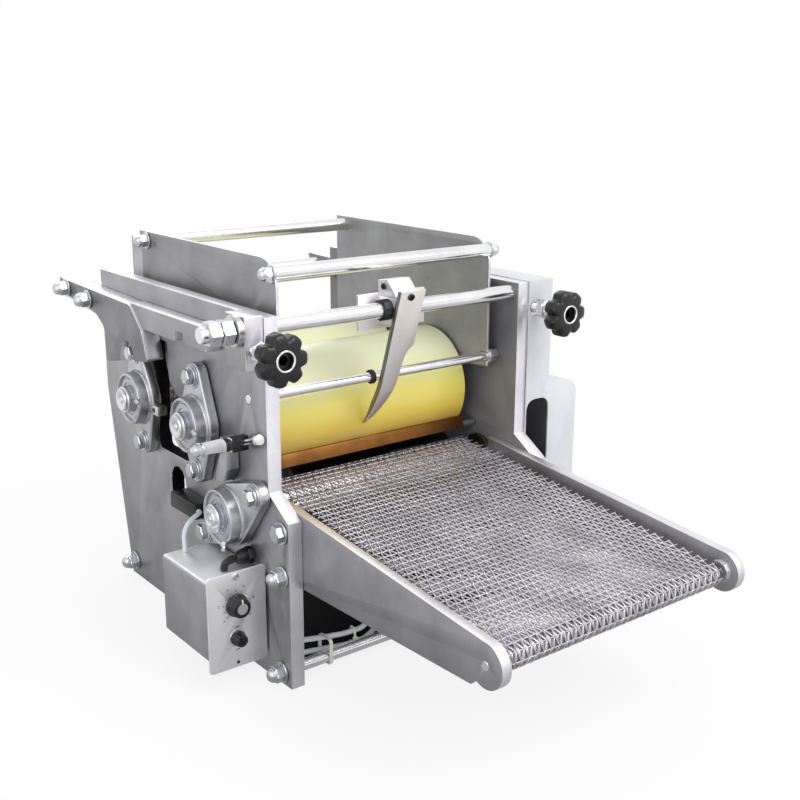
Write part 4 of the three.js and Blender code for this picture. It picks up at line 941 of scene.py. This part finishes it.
def wire_belt():
    """Rows of flattened spirals, each second one half a turn on, with a cross wire between rows"""
    path = BeltPath()
    rows = 2 * round(path.length / ROW_PITCH / 2)
    pitch = path.length / rows
    spiral_end = BELT_HALF - 2
    loop_pitch = 2 * spiral_end / LOOPS
    reach = pitch / 2 + WIRE_RADIUS
    rise = BELT_MID - 0.3 - WIRE_RADIUS
    turn = [(-1.0, 0.0), (-0.5, 1.0), (0.5, 1.0), (1.0, 0.0), (0.5, -1.0), (-0.5, -1.0)]
    spirals, rods = [], []
    for row in range(rows):
        middle_run = (row + 0.5) * pitch
        shift = len(turn) // 2 * (row % 2)
        points = []
        for step in range(shift, LOOPS * len(turn) + 1):
            onward, up = turn[(step - shift) % len(turn)]
            x = spiral_end - step / len(turn) * loop_pitch
            points.append(path.at(x, middle_run + onward * reach, up * rise))
        spirals.append(points)
        rods.append([path.at(x, row * pitch, 0) for x in (-BELT_HALF, BELT_HALF)])
    weave = joined(wires(spirals, WIRE_RADIUS), wires(rods, WIRE_RADIUS * 0.8))
    piece("wire_belt", weave, [drawn_wire], "frame", ["conveyor_belt"], 100.0)


wire_belt()


# Motor, control panel and the black pan of painted shade

def motor():
    """A ribbed motor body beside the gearbox, with its terminal box"""
    low, high = extent("gear_motor")
    left, right = low.x, high.x
    y, z = middle("motor_pinion").y, middle("gear_motor").z
    radius, groove_radius = 45, 43.4
    profile = [(left, 0), (left, 33), (left + 1, 36), (left + 4, 41), (left + 8, 44), (left + 14, radius)]
    x = left + 16
    while x < right - 14:
        profile += [(x, radius), (x + 0.6, groove_radius), (x + 3.2, groove_radius), (x + 3.8, radius)]
        x += 6.5
    profile += [(right - 8, radius), (right - 8, 42), (right, 42), (right, 0)]
    body = turned(profile, (0, y, z), steps=96)
    lid_x = left + 25
    lid = box((lid_x, y - 67, z - 25), (lid_x + 60, y - 22, z + 25), 3.0, 3)
    screws = [socket_screw((lid_x + u, y - 66.6, z + v), FORWARD, 2.6, 0.6)
              for u in (6, 54) for v in (-19, 19)]
    whole = joined(body, lid, coloured(joined(*screws), 1))
    piece("gear_motor_body", whole, [motor_black, plated_nut], "frame", ["gear_motor"])


PANEL_X = -203.0
PANEL_FRONT = extent("control_panel")[0].y
DIAL_Z = 85.0
SWITCH_Z = 50.0


def dial_angle(step):
    """The dial's ten steps take 270 degrees, from its lower left over the top"""
    return radians(-135 + 27 * step)


def fluted_grip(radius, length, flutes, x, z, back):
    """A control knob that narrows to the front, with flutes above a plain skirt"""
    count = flutes * 6
    # Depth before the back, share of the radius, and depth of the flutes
    sections = [(0, 1.0, 0), (2.4, 1.0, 0), (3.2, 0.94, 0.35), (length - 1.2, 0.84, 0.35),
                (length - 0.4, 0.8, 0.2), (length, 0.74, 0)]
    rings = []
    for depth, share, flute in sections:
        ring = []
        for step in range(count):
            angle = step / count * 2 * pi
            reach = radius * share - flute * (1 - cos(flutes * angle)) / 2
            ring.append((x + reach * cos(angle), back - depth, z + reach * sin(angle)))
        rings.append(ring)
    return lofted(rings)


def panel_number(text, x, z):
    """A printed number on the panel"""
    curve = bpy.data.curves.new("scratch", "FONT")
    curve.body = text
    curve.size = 3.6
    curve.extrude = 0.06
    curve.align_x = "CENTER"
    curve.align_y = "CENTER"
    place = Matrix.Translation((x, PANEL_FRONT - 0.05, z))
    return moved(meshed(curve), place @ Matrix.Rotation(pi / 2, 4, "X"))


def panel_marks():
    """Ticks and numbers round the dial, and a tick above and below the switch"""
    x, front = PANEL_X, PANEL_FRONT
    marks = []
    for step in range(11):
        tick = box((-0.35, -0.12, 13.6), (0.35, 0.12, 16.0 if step % 5 == 0 else 15.0), 0)
        place = Matrix.Translation((x, front, DIAL_Z))
        marks.append(moved(tick, place @ Matrix.Rotation(dial_angle(step), 4, "Y")))
    for height in (SWITCH_Z - 12, SWITCH_Z + 12):
        marks.append(box((x - 2.2, front - 0.12, height - 0.4), (x + 2.2, front + 0.12, height + 0.4), 0))
    for step in range(0, 11, 2):
        angle = dial_angle(step)
        marks.append(panel_number(str(step), x + 19.5 * sin(angle), DIAL_Z + 19.5 * cos(angle)))
    piece("panel_marks", joined(*marks), [panel_ink], "frame")


def finish_controls():
    """The panel with its marks and screws, the speed dial and the run switch"""
    x, front = PANEL_X, PANEL_FRONT
    back = front - SEAT
    plate = softened(node_shape("control_panel"), 0.4 * MM)
    finished("control_panel_finished", plate, [pale_panel], "frame", ["control_panel"])
    panel_marks()
    screws = joined(
        socket_screw((x, front + 0.2, 114.5), FORWARD, 3.4, 2.2),
        coloured(socket_screw((x, front + 0.2, 24.0), FORWARD, 1.7, 0.9), 1))
    piece("panel_screws", screws, [plated_nut, blackened], "frame")
    dial_cap = turned([(11.6, 6.0), (12.0, 5.6), (12.2, 0)], (x, back, DIAL_Z), FORWARD, 48)
    pointer = box((x - 0.6, front - 12.9, DIAL_Z + 5.5), (x + 0.6, front - 11.4, DIAL_Z + 9.5), 0.2)
    dial = joined(fluted_grip(11.5, 12, 24, x, DIAL_Z, back), coloured(dial_cap, 1), coloured(pointer, 2))
    piece("speed_dial_grip", dial, [black_grip, turned_bright, white_nylon], "dial", ["speed_dial"])
    ridge = box((x - 1.3, front - 11.8, SWITCH_Z - 1.5), (x + 1.3, front - 9.5, SWITCH_Z + 5.6), 0.4)
    bezel = turned([(0.1, 9.0), (0.9, 8.8), (0.9, 7.4)], (x, front, SWITCH_Z), FORWARD, 48)
    switch = joined(fluted_grip(7.5, 10, 16, x, SWITCH_Z, back), ridge, coloured(bezel, 1))
    piece("run_switch_grip", switch, [black_grip, turned_bright], "switch", ["run_switch"])


motor()
finish_controls()


# Cables, gland and ties

def finish_cables():
    """The control cable, the two motor cables and the gland with its elbow"""
    box_top = extent("control_box")[1].z + SEAT
    motor_end = extent("gear_motor")[0].y - SEAT
    control = [(-183, 149.7, 143), (-183, 147, 143), (-187, 143, 143), (-195, 139, 141.5), (-203, 137, 136),
               (-207, 136, 127), (-207, 136, 117), (-207, 136, box_top)]
    upper = [(-152.7, 26, 34), (-146, 26, 34), (-115, 26, 29), (-80, 27, 24), (-55, 34, 22), (-35, 56, 24),
             (-20, 80, 40), (-11, 94, 64), (-8, 98.7, 88), (-8, 101.4, 98), (-8, 108.7, 105.3),
             (-8, 118.7, 108), (-8, motor_end, 108)]
    lower = [(-152.7, 26, 20), (-146, 26, 20), (-115, 26, 16), (-80, 27, 11), (-50, 34, 9), (-22, 56, 12),
             (-4, 82, 28), (5, 95, 52), (8, 98.7, 78), (8, 101.4, 88), (8, 108.7, 95.3), (8, 118.7, 98),
             (8, motor_end, 98)]
    for node, route, radius in (
            ("control_cable", control, 2.5), ("upper_motor_cable", upper, 2.75),
            ("lower_motor_cable", lower, 2.75)):
        piece(node + "_sheath", tube(route, radius), [cable_sheath], "frame", [node])
    gland_at = (-PLATE_OUTER - SEAT, 69, 119.3)
    dome = [(6, 0), (6, 7.6), (8, 8.2), (13, 7.4), (17, 5.6), (18, 4.2), (18, 0)]
    gland = joined(hexagon(9, 6, gland_at, LEFT), turned(dome, gland_at, LEFT, 40))
    elbow = tube([(-184, 69, 119.3), (-191, 69, 119.3), (-197, 70, 116.5), (-199, 71, box_top)], 3.9)
    piece("cable_gland_body", joined(gland, elbow), [black_grip], "frame", ["cable_gland"])


def second_tie():
    """A tie round both motor cables, with its square head"""
    x, y, z = -75.0, 28.2, 17.0
    radius, spread = 4.2, 6.2
    over = arc(y, z + spread, radius, 0, pi, 16)
    under = arc(y, z - spread, radius, pi, 2 * pi, 16)[1:]
    band = [(x, v, w) for v, w in over + under]
    head = box((x - 2.6, y - 6.4, z - 4), (x + 2.6, y - 3.2, z + 1), 0.5)
    piece("second_cable_tie", joined(wires([band], 1.5), head), [white_nylon], "frame")


def bottom_pan():
    """A thin black pan between the plates, turned up at its sides: a dark sheet that stands in for the
    shade under the machine
    """
    side = PLATE_INNER - SEAT
    sheet = box((-side, 26, 3.0), (side, 352, 4.4), 0.2, 1)
    rims = [box((edge - 0.7, 60, 4.2), (edge + 0.7, 330, 15), 0.2, 1) for edge in (0.7 - side, side - 0.7)]
    screws = [coloured(socket_screw((edge * (side - 1.4), y, 10), (-edge, 0, 0), 2.6, 1.6), 1)
              for edge in (-1, 1) for y in (90, 195, 300)]
    piece("bottom_pan", joined(sheet, *rims, *screws), [pan_shade_black, plated_nut], "frame")


finish_cables()
second_tie()
bottom_pan()


# Floor, world, lamps and camera

def seen_share(tree):
    """1 for rays from the camera and those that mirrors or glass send on, 0 for others"""
    path = add(tree, "ShaderNodeLightPath").outputs
    mirrored = maths(tree, "MAXIMUM", path["Is Camera Ray"], path["Is Glossy Ray"])
    return maths(tree, "MAXIMUM", mirrored, path["Is Transmission Ray"])


def floor_finish():
    """Matt white that fades into the background, and is darker in mirrors near by"""
    finish = bpy.data.materials.new("studio_floor")
    tree = empty_tree(finish)
    matt = add(tree, "ShaderNodeBsdfDiffuse", {"Color": linear("#f4f4f4")})
    seen = seen_share(tree)
    place = add(tree, "ShaderNodeTexCoord").outputs["Object"]
    far = add(tree, "ShaderNodeVectorMath", links={0: place}, operation="LENGTH").outputs["Value"]
    glossy = add(tree, "ShaderNodeLightPath").outputs["Is Glossy Ray"]
    dimmed = maths(tree, "MULTIPLY", glossy, remap(tree, far, 0.6, 0.0, 0.3, 1.3))
    strength = maths(tree, "SUBTRACT", 1.0, dimmed)
    glow = add(tree, "ShaderNodeEmission", {"Color": (1, 1, 1, 1)}, {"Strength": strength})
    share = maths(tree, "MULTIPLY", seen, remap(tree, far, 0.84, 1.0, 0.35, 1.1))
    mix = add(tree, "ShaderNodeMixShader", links={0: share, 1: matt.outputs[0], 2: glow.outputs[0]})
    add(tree, "ShaderNodeOutputMaterial", links={"Surface": mix.outputs[0]})
    return finish


def floor():
    """A wide floor half a millimetre under the machine"""
    shape = bmesh.new()
    bmesh.ops.create_grid(shape, x_segments=1, y_segments=1, size=6.0)
    mesh = mesh_of("floor", shape)
    mesh.materials.append(floor_finish())
    made = in_scene("floor", mesh)
    made.location = (0, 0, cad_box[0].z - 0.5 * MM)


def world():
    """White where the camera sees it, and a dimmer cool white as light on the machine"""
    made = bpy.data.worlds.new("studio")
    bpy.context.scene.world = made
    tree = empty_tree(made)
    seen = seen_share(tree)
    white = add(tree, "ShaderNodeBackground", {"Color": (1, 1, 1, 1), "Strength": 1.0})
    dim = add(tree, "ShaderNodeBackground", {"Color": (0.96, 0.98, 1, 1), "Strength": 0.66})
    mix = add(tree, "ShaderNodeMixShader", links={0: seen, 1: dim.outputs[0], 2: white.outputs[0]})
    add(tree, "ShaderNodeOutputWorld", links={"Surface": mix.outputs[0]})


def lamp(name, place, size, power):
    """A square soft lamp that looks at the middle of the machine"""
    target = Vector((0, 0, 0.2))
    data = bpy.data.lights.new(name, "AREA")
    data.shape = "SQUARE"
    data.size = size
    data.energy = power
    made = in_scene(name, data)
    made.location = place
    made.rotation_euler = (target - Vector(place)).to_track_quat("-Z", "Y").to_euler()


def camera():
    """The photograph's view: turned right, tipped down, and a slight roll"""
    yaw, pitch, roll = radians(38.04), radians(15.47), radians(0.28)
    right = Vector((cos(yaw), -sin(yaw), 0))
    ahead = Vector((sin(yaw) * cos(pitch), cos(yaw) * cos(pitch), -sin(pitch)))
    up = right.cross(ahead)
    rolled_right = right * cos(roll) + up * sin(roll)
    rolled_up = up * cos(roll) - right * sin(roll)
    data = bpy.data.cameras.new("photo_view")
    data.sensor_width = 36.0
    data.lens = 50.74
    made = in_scene("photo_view", data)
    place = ORIGIN + Vector((-692.5, -839.0, 566.0)) * MM
    rotation = Matrix((rolled_right, rolled_up, -ahead)).transposed()
    made.matrix_world = Matrix.Translation(place) @ rotation.to_4x4()
    bpy.context.scene.camera = made


floor()
world()
lamp("key", (0.6, -1.6, 1.9), 1.6, 31)
lamp("fill", (-1.9, -0.7, 1.0), 1.4, 9)
lamp("back", (0.4, 1.8, 1.6), 1.6, 12)
camera()

bpy.context.scene.view_settings.view_transform = "Standard"
